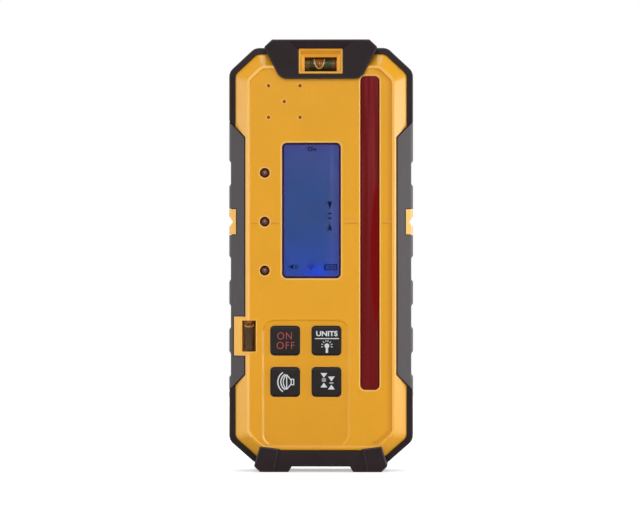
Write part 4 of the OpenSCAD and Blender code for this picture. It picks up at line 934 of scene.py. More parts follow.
def lcd_finish():
    """Backlit blue: emission that turns violet to the right and the top, with a pale upright streak and a
    glow at the bottom."""
    made, tree, bsdf = new_finish("display_blue")
    where = object_place(tree)
    x, _, z = new_node(tree, "SeparateXYZ", Vector=where).outputs
    side, high = remap(tree, x, 0.001, 0.0075, 0.0, 0.75), remap(tree, z, 0.112, 0.131, 0.0, 0.55)
    violet = mix(tree, maths(tree, "MAXIMUM", side, high), (0.020, 0.058, 0.205), (0.058, 0.060, 0.235))
    upright = remap(tree, off_from(tree, x, 0.0044), 0.0010, 0.0003, 0.0, 0.6)
    violet = mix(tree, upright, violet, (0.062, 0.090, 0.270))
    deep = mix(tree, remap(tree, z, 0.100, 0.078, 0.0, 0.55), violet, (0.008, 0.050, 0.44))
    near = remap(tree, distance(tree, where, (-0.0022, -0.0101, 0.0768)), 0.0085, 0.0, 0.0, 1.0)
    lit = mix(tree, maths(tree, "POWER", near, 1.4), deep, (0.0, 0.045, 0.88))
    patch = remap(tree, noise(tree, where, 160.0, 2.0), 0.35, 0.7, 0.92, 1.06)
    feed(tree, bsdf, Emission_Color=mix(tree, 1.0, lit, patch, "MULTIPLY"), Emission_Strength=1.0,
         Base_Color=(0.004, 0.006, 0.02), Roughness=0.35, Specular_IOR_Level=0.05)
    return made


def red_finish():
    """A deep red filter with painted light: painted shade along its edges, a painted hazy reflection in long
    streaks that grows upwards, and a clear deep red in an ellipse on its right where no reflection is
    painted.
    """
    made, tree, bsdf = new_finish("window_red")
    where = object_place(tree)
    x, _, z = new_node(tree, "SeparateXYZ", Vector=where).outputs
    long = new_node(tree, "Mapping", Vector=where, Scale=(1.0, 1.0, 0.035)).outputs["Vector"]
    streak = remap(tree, noise(tree, long, 520.0, 1.0), 0.35, 0.65, 0.0, 1.0)
    streak = maths(tree, "MULTIPLY", streak, remap(tree, z, 0.060, 0.125, 0.25, 1.0))
    haze = mix(tree, streak, (0.150, 0.0060, 0.0060), (0.215, 0.0190, 0.0230))
    clear_x, clear_z, half_x, half_z = 0.0230, 0.0870, 0.0031, 0.0300
    across = maths(tree, "DIVIDE", off_from(tree, x, clear_x), half_x)
    along = maths(tree, "DIVIDE", off_from(tree, z, clear_z), half_z)
    reach = maths(tree, "ADD", maths(tree, "POWER", across, 2.0), maths(tree, "POWER", along, 2.0))
    deep = mix(tree, remap(tree, reach, 1.15, 0.75, 0.0, 1.0), haze, (0.195, 0.0008, 0.0016))
    # Painted shade along the window's edges.
    rim = remap(tree, off_from(tree, x, LASER["x"] * MM), 0.0030, 0.0036, 0.0, 0.8)
    feed(tree, bsdf, Base_Color=mix(tree, rim, deep, (0.075, 0.0015, 0.0008)), Specular_IOR_Level=0.06,
         Roughness=remap(tree, noise(tree, where, 120.0, 2.0), 0.4, 0.7, 0.05, 0.10))
    return made


def border_finish():
    """The printed violet border, made to glow a little as painted light, in place of the light that the glass
    lens keeps from it.
    """
    made, tree, bsdf = new_finish("display_border_painted_glow")
    patch = remap(tree, noise(tree, object_place(tree), 300.0, 2.0), 0.3, 0.7, 0.85, 1.1)
    feed(tree, bsdf, Emission_Color=mix(tree, 1.0, (0.062, 0.054, 0.185), patch, "MULTIPLY"),
         Emission_Strength=1.0, Base_Color=(0.01, 0.008, 0.03), Roughness=0.5, Specular_IOR_Level=0.05)
    return made


border_painted_glow, red, lcd_blue = border_finish(), red_finish(), lcd_finish()
lens_clear = clear("lens_clear", (0.97, 0.97, 1.0), 0.0, 1.16, 0.012)
print("finishes so far:", len(bpy.data.materials))

# %% Display pane and laser window
dress(shape("display_lens_form", pane(**LENS)), lens_clear, replaces=["display_lens"])
dress(shape("laser_window_form", pane(**LASER, roll=0.15, crown=0.16)), red,
      replaces=["laser_window"])

# %% [markdown]
# ## Marks on the display
# The dark segments of the display and the symbols along its foot are thin plates just in front of
# the glass. Drawn as geometry, they keep their crisp edges from near by and need no picture.

# %% Thin plates
LCD_Y, PRINT_Y, PRINT_T = -10.0, -11.66, 0.04
ink = moulded("display_ink", (0.003, 0.007, 0.05), 0.6, bump=0.0, shade=0.1, scuff=0.0, specular=0.0)


def flat(loops, y, thick=PRINT_T):
    """Thin plates from front-view outlines, their front at depth y."""
    return [slab(np.asarray(loop, float), y, y + thick) for loop in loops]


def frame_plate(outer, hole, y, thick=PRINT_T):
    """A thin plate with a hole: front, inner wall, back and outer wall as one closed grid."""
    back = y + thick
    return skin([at_depth(outer, y), at_depth(hole, y), at_depth(hole, back), at_depth(outer, back)],
                (False, False), wrap=True)


def arc_band(x, z, r, width, a0, a1, count=14):
    """A band along part of a circle: there at the outer radius and back at the inner one."""
    t = np.radians(np.linspace(a0, a1, count))
    way = np.stack([np.cos(t), np.sin(t)], 1)
    return np.array([x, z]) + np.concatenate([(r + width / 2) * way, (r - width / 2) * way[::-1]])


def fan(x, z, r, length, half_angle, angles):
    """Short rays round a centre."""
    return [arc_band(x, z, r, length, a - half_angle, a + half_angle, 3) for a in angles]


def triangle(x, z, w, h):
    """A triangle that points up, or down where h is negative."""
    tri = np.array([[x - w / 2, z - h / 2], [x + w / 2, z - h / 2], [x, z + h / 2]])
    return tri if h > 0 else tri[::-1]


print("points of a small arc:", len(arc_band(0, 0, 1.0, 0.3, -45, 45)))

# %% Marks on the display
MARK_X, MARK_Y, CELL_MARK = 3.5, LCD_Y - 0.05, (4.0, 81.7)
level_marks = [triangle(MARK_X, 106.5, 2.1, -3.0), triangle(MARK_X, 97.9, 2.1, 3.0),
               rect(MARK_X, 103.2, 1.6, 0.6), rect(MARK_X, 101.3, 1.6, 0.6)]
sound_mark = [rect(-12.3, 81.9, 0.8, 1.1), [(-11.9, 81.5), (-10.9, 80.6), (-10.9, 83.2), (-11.9, 82.3)],
              arc_band(-11.2, 81.9, 1.05, 0.3, -45, 45), arc_band(-11.2, 81.9, 1.7, 0.3, -45, 45)]
light_mark = [arc_band(-3.9, 82.0, 0.6, 0.35, -60, 240), rect(-3.9, 80.9, 0.6, 0.8),
              *fan(-3.9, 82.0, 1.45, 0.6, 7, (0, 45, 90, 135, 180))]
cell_mark = [*[rect(2.8 + 0.8 * k, CELL_MARK[1], 0.5, 1.1) for k in range(4)],
             rect(1.35, CELL_MARK[1], 0.5, 1.1)]
top_mark = [arc_band(-4.4, 128.9, 0.75, 0.5, 0, 359, 24), rect(-2.8, 129.0, 2.0, 0.5),
            rect(-2.2, 128.5, 0.5, 1.0)]
marks = flat(level_marks + sound_mark + light_mark + cell_mark + top_mark, MARK_Y)
marks.append(frame_plate(pad(*CELL_MARK, 5.0, 2.5, 0.3), pad(*CELL_MARK, 4.0, 1.6, 0.15), MARK_Y))
marks.append(frame_plate(pad(**LENS, d=0.02), pad(**LENS, d=0.6), PRINT_Y))
dress(shape("display_marks", *marks), ink)

# %% [markdown]
# ## Keys
# A key is a rubber block with a rolled edge and a slightly crowned top, on a flange behind the
# panel. The rows step from the flange up the wall, round the edge and in over the crown. The
# legends are thin plates that follow each key, so they ride on the key's own body.

# %% Keys
KEY_Y, FLANGE_Y, KEY_ROLL, CROWN, CROWN_RUN = -13.4, -10.75, 0.8, 0.1, 4.6
legend_white = moulded("legend_white", (0.68, 0.71, 0.73), 0.5, bump=0.05, shade=0.12, scuff=0.0)
legend_red = moulded("legend_red", (0.36, 0.05, 0.043), 0.5, bump=0.05, shade=0.12, scuff=0.0)


def key_form(x, z):
    """Rows of pads: flange, wall, rolled edge, then a crown that rises as the pad shrinks."""
    path = [(-0.9, FLANGE_Y + 1), (-0.9, FLANGE_Y), (0.0, FLANGE_Y)]
    edge = [(0.06, FLANGE_Y), (0.06, KEY_Y + CROWN), (4.0, KEY_Y + CROWN)]
    path += soften(edge, [KEY_ROLL], 6)[1:-1].tolist()
    path += [(d, KEY_Y + CROWN - CROWN * (d - KEY_ROLL) / CROWN_RUN) for d in (1.4, 2.4, 3.6, 5.0)]
    return skin([at_depth(pad(x, z, KEY_W, KEY_W, KEY_R, d), y) for d, y in path])


print("keys:", [name for name, x, z in KEYS])

# %% Words and plates for the legends
def letters(word, x, z, height, stretch=1.0, bold=0.0, space=1.0):
    """A word in the built-in typeface as a mesh part, centred at x, z, thin and facing the front."""
    curve = bpy.data.curves.new("word", "FONT")
    curve.body, curve.align_x, curve.align_y = word, "CENTER", "CENTER"
    curve.offset, curve.space_character = bold, space
    holder = bpy.data.objects.new("word", curve)
    scene.collection.objects.link(holder)
    mesh = holder.to_mesh()
    points = np.empty(3 * len(mesh.vertices))
    mesh.vertices.foreach_get("co", points)
    plan = points.reshape(-1, 3)[:, :2]
    middle, scale = (plan.max(0) + plan.min(0)) / 2, height / np.ptp(plan[:, 1])
    plan = (plan - middle) * scale * np.array([stretch, 1.0]) + np.array([x, z])
    faces = [list(p.vertices) for p in mesh.polygons]
    holder.to_mesh_clear()
    bpy.data.objects.remove(holder)
    return plan, faces


LEGEND_Y, LEGEND_T = KEY_Y - 0.015, 0.05


def plate(plan, faces):
    """A flat mesh made a closed plate: its front, its back turned round, and walls on open edges."""
    n = len(plan)
    verts = np.concatenate([at_depth(plan, LEGEND_Y), at_depth(plan, LEGEND_Y + LEGEND_T)])
    edges = np.concatenate([np.stack([f, np.roll(f, -1)], 1) for f in map(np.array, faces)])
    _, first, count = np.unique(np.sort(edges, 1), axis=0, return_index=True, return_counts=True)
    rim = edges[first[count == 1]]
    walls = np.stack([rim[:, 1], rim[:, 0], rim[:, 0] + n, rim[:, 1] + n], 1).tolist()
    return verts, [*faces, *[[k + n for k in f[::-1]] for f in faces], *walls]


print("legend thickness:", LEGEND_T, "mm")

# %% Legends
def power_legend(x, z):
    """Two words, one above the other."""
    return [plate(*letters("ON", x - 0.2, z + 1.9, 2.9, 0.9, -0.006, 1.12)),
            plate(*letters("OFF", x + 0.2, z - 1.9, 2.9, 0.92, -0.006, 1.16))]


def units_legend(x, z):
    """A word, a line, and a lamp with rays."""
    x += 0.2
    loops = [rect(x, z + 0.85, 9.6, 0.36), ring(x, z - 2.05, 0.95, 24), rect(x, z - 3.9, 0.95, 1.9),
             *fan(x, z - 2.05, 1.95, 0.75, 4, (-12, 18, 48, 78, 102, 132, 162, 192))]
    return [plate(*letters("UNITS", x, z + 2.85, 2.1, 1.12, 0.03)), *flat(loops, LEGEND_Y, LEGEND_T)]


def sound_legend(x, z):
    """A sounder with its magnet, and three waves on its left."""
    sides = [[(x + 0.86, z + a), (x + 2.25, z + b), (x + 2.25, z + c), (x + 0.86, z + d)]
             for a, b, c, d in ((-3.0, -1.3, -0.65, -2.35), (2.35, 0.65, 1.3, 3.0))]
    waves = [arc_band(x + 1.7, z, 4.6, 0.5, 124, 236), arc_band(x + 1.9, z, 3.6, 0.45, 121, 239),
             arc_band(x + 3.45, z, 4.15, 0.4, 136, 224)]
    outer, hole = pad(x + 2.95, z, 1.4, 2.6, 0.2), pad(x + 2.95, z, 0.65, 1.85, 0.1)
    magnet = frame_plate(outer, hole, LEGEND_Y, LEGEND_T)
    return [*flat([*waves, rect(x + 0.65, z, 0.42, 6.0), *sides], LEGEND_Y, LEGEND_T), magnet]


def accuracy_legend(x, z):
    """Two pairs of arrows that meet at lines: two lines on the left, one on the right."""
    arrows = [(-1.0, 2.65, -1.9), (-1.0, -1.2, 1.9), (2.0, 1.25, -1.9), (2.0, -2.0, 1.9)]
    lines = [(-1.0, 1.2), (-1.0, 0.45), (2.0, -0.35)]
    return flat([*[triangle(x + a, z + b, 2.7, tall) for a, b, tall in arrows],
                 *[rect(x + a, z + b, 1.6, 0.34) for a, b in lines]], LEGEND_Y, LEGEND_T)


LEGENDS = {"power": power_legend, "units": units_legend, "sound": sound_legend, "accuracy": accuracy_legend}
for name, x, z in KEYS:
    dress(shape(f"key_{name}_form", key_form(x, z)), key_black, f"{name}_key", [f"key_{name}"])
    dress(shape(f"legend_{name}", *LEGENDS[name](x, z)), legend_red if name == "power" else legend_white,
          f"{name}_key")

# %% [markdown]
# ## Vials and lights
# The top vial lies in a yellow holder whose top slopes down to the window. Each vial is a clear
# tube with tinted liquid and a bubble; the tube and liquid are turned profiles. Lights are domed
# pieces of dark resin set a little below the panel.

# %% Vial holder
VIAL_Y, VIEW_Z, VIAL_R = -10.0, 162.65, 3.2
SLOPE_Z, NEST_R, NEST_HALF = 166, 3.3, 7.7
HOLDER_ROWS = [(HOLDER_Z, HOLDER_W, HOLDER_H, 0.4, -6.7), (HOLDER_Z, HOLDER_W, HOLDER_H, 0.4, -14.65),
               (HOLDER_Z, 17.3, 9.7, 0.3, -14.8), (HOLDER_Z, 16.2, 8.4, 0.3, -14.8),
               (HOLDER_Z, 16.0, 8.2, 0.3, -14.65), (163.35, 15.6, 7.1, 0.3, -13.7),
               (163.3, 15.4, 7.0, 0.3, -13.6), (VIEW_Z, 13.0, 5.9, 0.4, -13.6),
               (VIEW_Z, 12.8, 5.7, 0.3, -13.45), (VIEW_Z, 12.8, 5.7, 0.3, VIAL_Y)]
vial_holder = shape("top_vial_holder_form",
                    skin([at_depth(pad(0, z, w, h, r), y) for z, w, h, r, y in HOLDER_ROWS]))
cut(vial_holder, lathe([(NEST_R, -NEST_HALF), (NEST_R, NEST_HALF)], (0, VIAL_Y, VIEW_Z), "x"))
cut(vial_holder, box((-NEST_HALF, NEST_HALF), (VIAL_Y, 0), span(VIEW_Z, NEST_R)))
cut(vial_holder, box((-20, 20), (-8.7, 5), (166.9, 180)))
# Painted highlight on the front faces below the slope, painted shade on the sloped top.
mark(vial_holder, "painted_light", lambda c, n: 0.3 * ((n[:, 1] < -0.5) & (c[:, 2] < SLOPE_Z)))
mark(vial_holder, "painted_shade", lambda c, n: 0.5 * ((n[:, 1] < -0.3) & (c[:, 2] > SLOPE_Z)))
dress(vial_holder, yellow, replaces=["top_vial_holder"])

# %% Finishes of the vials
vial_clear = clear("vial_acrylic", (0.95, 0.98, 0.95), 0.02, 1.09)
# The liquids' edge colours are a painted reflection of the yellow case along the vials' sides.
liquid_green = moulded("liquid_green", (0.022, 0.024, 0.006), 0.12, grain=400, bump=0.0, shade=0.5,
                       scuff=0.0, patch=220, specular=0.1, edge=(0.85, 0.20, 0.004))
liquid_brown = moulded("liquid_brown", (0.046, 0.024, 0.012), 0.12, grain=400, bump=0.0, shade=0.1,
                       scuff=0.0, patch=200, specular=0.1, edge=(0.20, 0.018, 0.0))
bubble_amber = moulded("bubble_amber", (0.175, 0.050, 0.005), 0.2, grain=400, bump=0.0, shade=0.5,
                       scuff=0.0, patch=500, specular=0.1)
# The bubble's pale rim is a painted highlight.
bubble_highlight = moulded("bubble_highlight", (0.36, 0.23, 0.07), 0.3, bump=0.0, scuff=0.0, specular=0.3)
# The plugs' amber is a painted reflection of the yellow case.
plug_painted_reflection = moulded("plug_painted_reflection", (0.33, 0.080, 0.006), 0.4, bump=0.05, shade=0.2, scuff=0.0, specular=0.1)
line_black = moulded("vial_lines", (0.006, 0.006, 0.006), 0.4, bump=0.0, scuff=0.0, specular=0.2)
print("finishes so far:", len(bpy.data.materials))

# %% Vial tubes, liquids and bubbles
AXES = {"x": np.array([1, 0, 0]), "z": np.array([0, 0, 1])}
VIAL_END, VIAL_FIT = 4.5, 0.05
LINE_HALF, LINE_LIFT = 0.16, 0.035


def rod(r, low, high, roll):
    """Profile of a rod with rolled ends: radius against place along its axis."""
    path = [(AXIS_R, low), (r, low), (r, -VIAL_END), (r, VIAL_END), (r, high), (AXIS_R, high)]
    return soften(path, [roll, 0, 0, roll], 4)


def tube(r, wall, low, high):
    """Profile of a tube closed at its low end and open at its high end."""
    inner, floor = r - wall, low + wall
    return soften([(AXIS_R, low), (r, low), (r, high), (inner, high), (inner, floor), (AXIS_R, floor)],
                  [0.4, 0.15, 0.15, 0.3], 3)


def ball(centre, radii, rows=18, count=36):
    """An ellipsoid: centre + radii times (sin a cos b, sin a sin b, cos a)."""
    a = np.linspace(0.02, np.pi - 0.02, rows)[:, None]
    b = np.linspace(0, 2 * np.pi, count, endpoint=False)[None]
    p = np.stack([np.sin(a) * np.cos(b), np.sin(a) * np.sin(b), np.cos(a) * np.ones_like(b)], -1)
    return skin(p * np.asarray(radii) + np.asarray(centre))


def vial(name, centre, axis, r, wall, length, liquid, low_glow, bubble, radii, lines):
    """Tube, liquid with a painted reflection of the case's colour along its sides, a bubble that lies on the
    liquid's skin with a painted highlight round its edge, and two lines. The tube throws no shadow, since
    real acrylic lets the light in."""
    core, half = r - wall - VIAL_FIT, length / 2
    glass = shape(f"{name}_tube_form", lathe(tube(r, wall, -half, half), centre, axis))
    glass.visible_shadow = False
    dress(glass, vial_clear, replaces=[f"{name}_tube"])
    fluid = shape(f"{name}_fluid_form", lathe(rod(core, 0.9 - half, half - 1.7, 0.3), centre, axis))

    def glow(c, n):
        """A painted reflection of the case's colour in the liquid: full along one side, low_glow along the
        other, a trace at the ends."""
        off, along = (c - centre) @ (1 - AXES[axis] - [0, 1, 0]) / core, (c - centre) @ AXES[axis]
        sides = np.clip((np.abs(off) - 0.8) / 0.12, 0, 1) * np.where(off > 0, 1, low_glow)
        return np.maximum(sides, 0.07 * (np.abs(along) > VIAL_END))

    mark(fluid, "painted_light", glow)
    dress(fluid, liquid, replaces=[f"{name}_fluid"])
    layers = [("edge", 0.28, 0.012, bubble_highlight), ("bubble", 0.0, 0.024, bubble_amber)]
    for title, grow, lift, finish in layers:
        drop = shape(f"{name}_{title}", ball(bubble, np.asarray(radii) + grow))
        keep(drop, lathe(rod(core + lift, 1.0 - half, half - 1.8, 0.3), centre, axis))
        dress(drop, finish)
    bands = [lathe(rect(core + (LINE_LIFT - 0.2) / 2, at, LINE_LIFT + 0.2, 2 * LINE_HALF), centre, axis)
             for at in lines]
    dress(shape(f"{name}_lines", *bands), line_black)


vial("top_vial", (0, VIAL_Y, VIEW_Z), "x", r=VIAL_R, wall=0.4, length=15.2, liquid=liquid_green,
     low_glow=0.3, bubble=(-0.6, -11.6, 164.0), radii=(2.0, 2.4, 2.9), lines=(-3.4, 2.4))
vial("side_vial", SIDE_VIAL, "z", r=2.6, wall=0.25, length=13.6, liquid=liquid_brown,
     low_glow=1.0, bubble=(SIDE_VIAL[0], -11.6, 58.7), radii=(1.9, 1.4, 0.75), lines=(-3.3, 3.4))

# %% Indicator lights
LED_R, LED_FLANGE_R, DOME_Y, FLANGE_FRONT_Y, FLANGE_BACK_Y = 1.8, 1.9, -10.8, -6.8, -5.8


def led(z):
    """A turned lens: a quarter circle, then a straight barrel and a base flange."""
    a = np.linspace(0.03, np.pi / 2, 12)
    dome = np.stack([LED_R * np.sin(a), DOME_Y - LED_R * np.cos(a)], 1).tolist()
    base = [(LED_R, FLANGE_FRONT_Y), (LED_FLANGE_R, FLANGE_FRONT_Y), (LED_FLANGE_R, FLANGE_BACK_Y),
            (AXIS_R, FLANGE_BACK_Y)]
    return lathe(dome + base, (LED_X, 0, z), "y", 32)


leds = shape("indicator_leds_form", *[led(z) for z in LEDS])
# A painted glint on the front faces of each dome's tip.
mark(leds, "painted_light", lambda c, n: (n[:, 1] < -0.975) & (c[:, 1] < -11))
dress(leds, lamp, replaces=["indicator_leds"])

# %% [markdown]
# ## Rear cover
# The back carries the battery bay with its hinged door, a seat with a brass thread for a rod
# clamp, and four sunk screws. It is made like the front cover: a shell, blocks joined on inside
# for the bay and the bosses, and cutters with rolled mouths that open towards the back.

# %% Sizes of the rear cover
HINGE_Y, HINGE_Z, BARREL_R, TROUGH_R, HINGE_HALF = 12.5, 15.0, 2.0, 2.5, 17.0
TUB_HALF, TUB_LOW, TUB_TOP, TUB_IN_Y, TUB_WALL = 15.0, 20.5, 77.2, -2.8, 1.5
DOOR_HALF, DOOR_TOP, DOOR_IN_Y, DOOR_GAP, DOOR_R = 18.0, 80.2, 12.3, 0.3, 2.0
NIB_HALF, THUMB_R, KNUCKLE, EAR_END, EAR_Y = 4.0, 4.9, (5.0, 12.0), 17.75, 9.25
CLAMP_Z, CLAMP_Y, CLAMP_W, CLAMP_H, CLAMP_R = 99.6, 13.7, 24, 26, 3
INSERT_R, INSERT_BOSS_R, SCREW_BOSS_R, SCREW_SINK_R = 4.55, 6.5, 3.4, 2.4
SCREWS = [(side * 26.6, z) for side in (-1, 1) for z in (22.1, 150.3)]
SEAL_Z, SEAL_W = (TUB_LOW + TUB_TOP) / 2, 1.2
SEAL_HALF, SEAL_H = TUB_HALF + TUB_WALL, TUB_TOP - TUB_LOW + 2 * TUB_WALL
ROOT_Y = BACK_Y - 1.1
print("battery bay:", 2 * TUB_HALF, "by", round(TUB_TOP - TUB_LOW, 1), "mm")

# %% Rear cover
def beam(loop, x0, x1):
    """An outline in (depth, height) made long between two x."""
    return skin([np.insert(loop, 0, x, axis=1) for x in (x0, x1)])


def barrel(shoulder_y, top_z):
    """A hinge knuckle's outline: most of a circle, and a shoulder that joins it to a plate."""
    a = np.radians(np.linspace(0, -264, 30))
    arc = np.stack([HINGE_Y + BARREL_R * np.cos(a), HINGE_Z + BARREL_R * np.sin(a)], 1)
    return np.concatenate([arc, [[shoulder_y, top_z], [BACK_Y, top_z]]])


def block(half, y, z):
    """A box joined on inside the cover, a wall wider than what will be cut out of it."""
    return box(span(0, half + TUB_WALL), (y, ROOT_Y), z)


rear = shape("rear_cover_form", skin(housing_rows(REAR_PATH) + housing_rows(REAR_INSIDE, INSIDE_R)))
cut(rear, grip_seat(1, SEAT_GAP), grip_seat(-1, SEAT_GAP))
carve(rear, "UNION", *lugs((0, REACH)))
fuse(rear, block(TUB_HALF, -4.0, (TUB_LOW - TUB_WALL, TUB_TOP + TUB_WALL)),
     *[lathe([(SCREW_BOSS_R, 0), (SCREW_BOSS_R, ROOT_Y)], (x, 0, z), "y", 24) for x, z in SCREWS],
     lathe([(INSERT_BOSS_R, 3.7), (INSERT_BOSS_R, ROOT_Y)], (0, 0, CLAMP_Z), "y"))
fuse(rear, block(DOOR_HALF, 10.7, (19.1, DOOR_TOP + TUB_WALL)))
fuse(rear, block(HINGE_HALF, 8.5, (11.0, 19.6)))
cut(rear, pad_mouth(0, (HINGE_Z + DOOR_TOP) / 2, 2 * (DOOR_HALF + DOOR_GAP),
                    DOOR_TOP - HINGE_Z + 2 * DOOR_GAP, DOOR_R, BACK_Y, DOOR_IN_Y, 0.3))
cut(rear, box(span(0, HINGE_HALF), (HINGE_Y - TROUGH_R, REACH), span(HINGE_Z, TROUGH_R)),
    box(span(0, TUB_HALF), (TUB_IN_Y, REACH), (TUB_LOW, TUB_TOP)),
    *[ring_mouth(x, z, SCREW_SINK_R, BACK_Y, BACK_Y - 4, 0.35) for x, z in SCREWS],
    pad_mouth(0, CLAMP_Z, CLAMP_W, CLAMP_H, CLAMP_R, BACK_Y, CLAMP_Y, 0.35))
cut(rear, frame_plate(pad(0, SEAL_Z, 2 * SEAL_HALF + SEAL_W, SEAL_H + SEAL_W, 2),
                      pad(0, SEAL_Z, 2 * SEAL_HALF - SEAL_W, SEAL_H - SEAL_W, 0.8), DOOR_IN_Y - 0.8, 2.0),
    lathe([(INSERT_R + 0.05, 4.7), (INSERT_R + 0.05, REACH)], (0, 0, CLAMP_Z), "y"))
cut(rear, ring_mouth(0, DOOR_TOP, THUMB_R, BACK_Y, ROOT_Y, 0.6))
cut(rear, box(span(0, NIB_HALF + DOOR_GAP), (DOOR_IN_Y, REACH), (DOOR_TOP - 1, DOOR_TOP + 1.1)))
ear_back, (ear_low, ear_high) = HINGE_Y + BARREL_R, span(HINGE_Z, BARREL_R)
ear = rounded([(EAR_Y, ear_low), (ear_back, ear_low), (ear_back, ear_high), (EAR_Y, ear_high)],
              [0.1, 1.98, 1.98, 0.1])
for x0, x1 in ((-EAR_END, -KNUCKLE[1] - DOOR_GAP), span(0, KNUCKLE[0] - DOOR_GAP),
               (KNUCKLE[1] + DOOR_GAP, EAR_END)):
    fuse(rear, beam(ear, x0, x1))
dress(rear, yellow, replaces=["rear_cover"])

# %% [markdown]
# ## Battery door
# The door is a plate with rolled edges, two hinge knuckles, a small nib that snaps under the
# cover's edge, and a patch of grooves for the thumb. Shallow pockets inside leave stiffening ribs.
# It rides on the door's own body, so it swings about the pin.

# %% Battery door
door_low = HINGE_Z + TROUGH_R
door_pad = dict(x=0, z=(door_low + DOOR_TOP) / 2, w=2 * DOOR_HALF, h=DOOR_TOP - door_low, r=DOOR_R)
door_path = [(0.3, DOOR_IN_Y), (0.0, DOOR_IN_Y + 0.3)]
door_path += soften([(0.0, DOOR_IN_Y), (0.0, BACK_Y), (3.0, BACK_Y)], [0.5])[1:-1].tolist()
door = shape("battery_door_form", skin([at_depth(pad(**door_pad, d=d), y) for d, y in door_path]))
knuckle = barrel(DOOR_IN_Y, door_low + 0.8)
fuse(door, beam(knuckle, *KNUCKLE), beam(knuckle, -KNUCKLE[1], -KNUCKLE[0]),
     box(span(0, NIB_HALF), (DOOR_IN_Y, DOOR_IN_Y + 0.8), (DOOR_TOP - 1, DOOR_TOP + 0.5)))
cut(door, *[pad_mouth(0, DOOR_TOP - 2.4 * (k + 1) + 0.5, 16, 0.9, 0.44, BACK_Y, BACK_Y - 0.5, 0.2)
            for k in range(1, 6)])
cut(door, *[pad_mouth(x, SEAL_Z + 13.6 * row, 13.4, 12.4, 1.0, DOOR_IN_Y, DOOR_IN_Y + 0.6, 0.25)
            for x in (-7.3, 7.3) for row in (-1.5, -0.5, 0.5, 1.5)])
dress(door, yellow, "door", ["battery_door"])

# %% [markdown]
# ## Cells, springs, screws and thread
# Behind the door are two cells between nickel contacts with cone springs. The cells, screws and
# brass insert are turned forms. A spring is a round wire carried along a narrowing helix. These
# only show with the door open or from close behind, but they are what a repairer would look for.

# %% Cells
CELL_X, CELL_Y, CELL_R, CELL_L, CONTACT_T = 7.45, 4.75, 7.25, 50.5, 0.4
sleeve_band = moulded("cell_band", (0.42, 0.30, 0.12), 0.25, grain=700, bump=0.04, shade=0.1, scuff=0.2,
                      pale=(0.5, 0.45, 0.35), metallic=0.8)
for name, x, base, way in (("cell_left", -CELL_X, TUB_TOP - CONTACT_T - CELL_L, 1),
                           ("cell_right", CELL_X, TUB_LOW + CONTACT_T + CELL_L, -1)):
    turned = lambda path: lathe(np.asarray(path, float) * np.array([1, way]), (x, CELL_Y, base), "z")
    can = soften([(6.4, 0.25), (CELL_R, 0.25), (CELL_R, 36.0), (6.9, 36.0)], [0.5, 0.05], 4)
    top = soften([(6.9, 36.0), (CELL_R, 36.0), (CELL_R, 49.2), (6.0, 49.2)], [0.05, 0.6], 4)
    metal = soften([(AXIS_R, 0.0), (6.6, 0.0), (6.6, 48.9), (2.9, 48.9), (2.7, CELL_L), (AXIS_R, CELL_L)],
                   [0.4, 0.3, 0.2, 0.4], 4)
    dress(shape(f"{name}_form", turned(can)), sleeve, replaces=[name])
    dress(shape(f"{name}_band", turned(top)), sleeve_band)
    dress(shape(f"{name}_metal", turned(metal)), nickel)

# %% Springs
def spring(centre, way, turns=4, wide=4.4, narrow=2.2, wire=0.34, foot=0.38, rise=4.64, tip=0.015,
           per_turn=30, sides=12):
    """Wire round the path (r cos a, r sin a, h): r falls and h grows evenly with the angle a, and the
    wire's own radius runs down to a rounded tip at both ends."""
    t = np.linspace(0, 1, turns * per_turn + 1)[:, None]
    a, r = 2 * np.pi * turns * t, wide + (narrow - wide) * t
    b = np.linspace(0, 2 * np.pi, sides, endpoint=False)[None]
    past = np.clip(np.abs(t - 0.5) * 2 - (1 - tip), 0, 1) / tip
    thin = wire * np.sqrt(np.clip(1 - past ** 2, 0.04, 1))
    out = r + thin * np.cos(b)
    rows = np.stack([out * np.cos(a), way * out * np.sin(a), way * (foot + rise * t + thin * np.sin(b))], -1)
    return skin(rows + np.asarray(centre))


dress(shape("contact_springs_form", spring((-CELL_X, CELL_Y, TUB_LOW + CONTACT_T), 1),
            spring((CELL_X, CELL_Y, TUB_TOP - CONTACT_T), -1)), nickel,
      replaces=["contact_springs"])

# %% Screws and threaded insert
screw_path = soften([(AXIS_R, -6.0), (1.25, -6.0), (1.25, 10.5), (2.3, 10.5), (2.3, 12.5), (AXIS_R, 12.5)],
                    [0.5, 0.05, 0.1, 0.6], 4)
screws = shape("cover_screws_form", *[lathe(screw_path, (x, 0, z), "y", 32) for x, z in SCREWS])
for w, h in ((0.75, 2.9), (2.9, 0.75)):
    cut(screws, *[slab(rect(x, z, w, h), 11.5, 14) for x, z in SCREWS])
dress(screws, steel, replaces=["cover_screws"])

THREAD_LOW, THREAD_TOP, PITCH, CREST_R, ROOT_R = 5.9, 13.2, 0.8, 2.55, 2.95
crests = np.arange(THREAD_LOW, THREAD_TOP, PITCH)
thread = np.stack([np.tile([CREST_R, ROOT_R], len(crests)),
                   (crests[:, None] + np.array([0, PITCH / 2])).ravel()], 1)
insert_path = [(AXIS_R, 4.75), (4.3, 4.75), (4.5, 4.95), (4.5, 8.4), (4.1, 8.5), (4.1, 9.9), (4.5, 10.0),
               (4.5, 13.5), (4.3, CLAMP_Y), (3.1, CLAMP_Y), *thread[::-1].tolist(), (2.5, 5.8), (AXIS_R, 5.7)]


def bore_shade(c, n):
    """Darker down the bore, fully so 3 mm below its top."""
    return (np.hypot(c[:, 0], c[:, 2] - CLAMP_Z) < 3) * np.clip((THREAD_TOP - c[:, 1]) / 3, 0, 1)


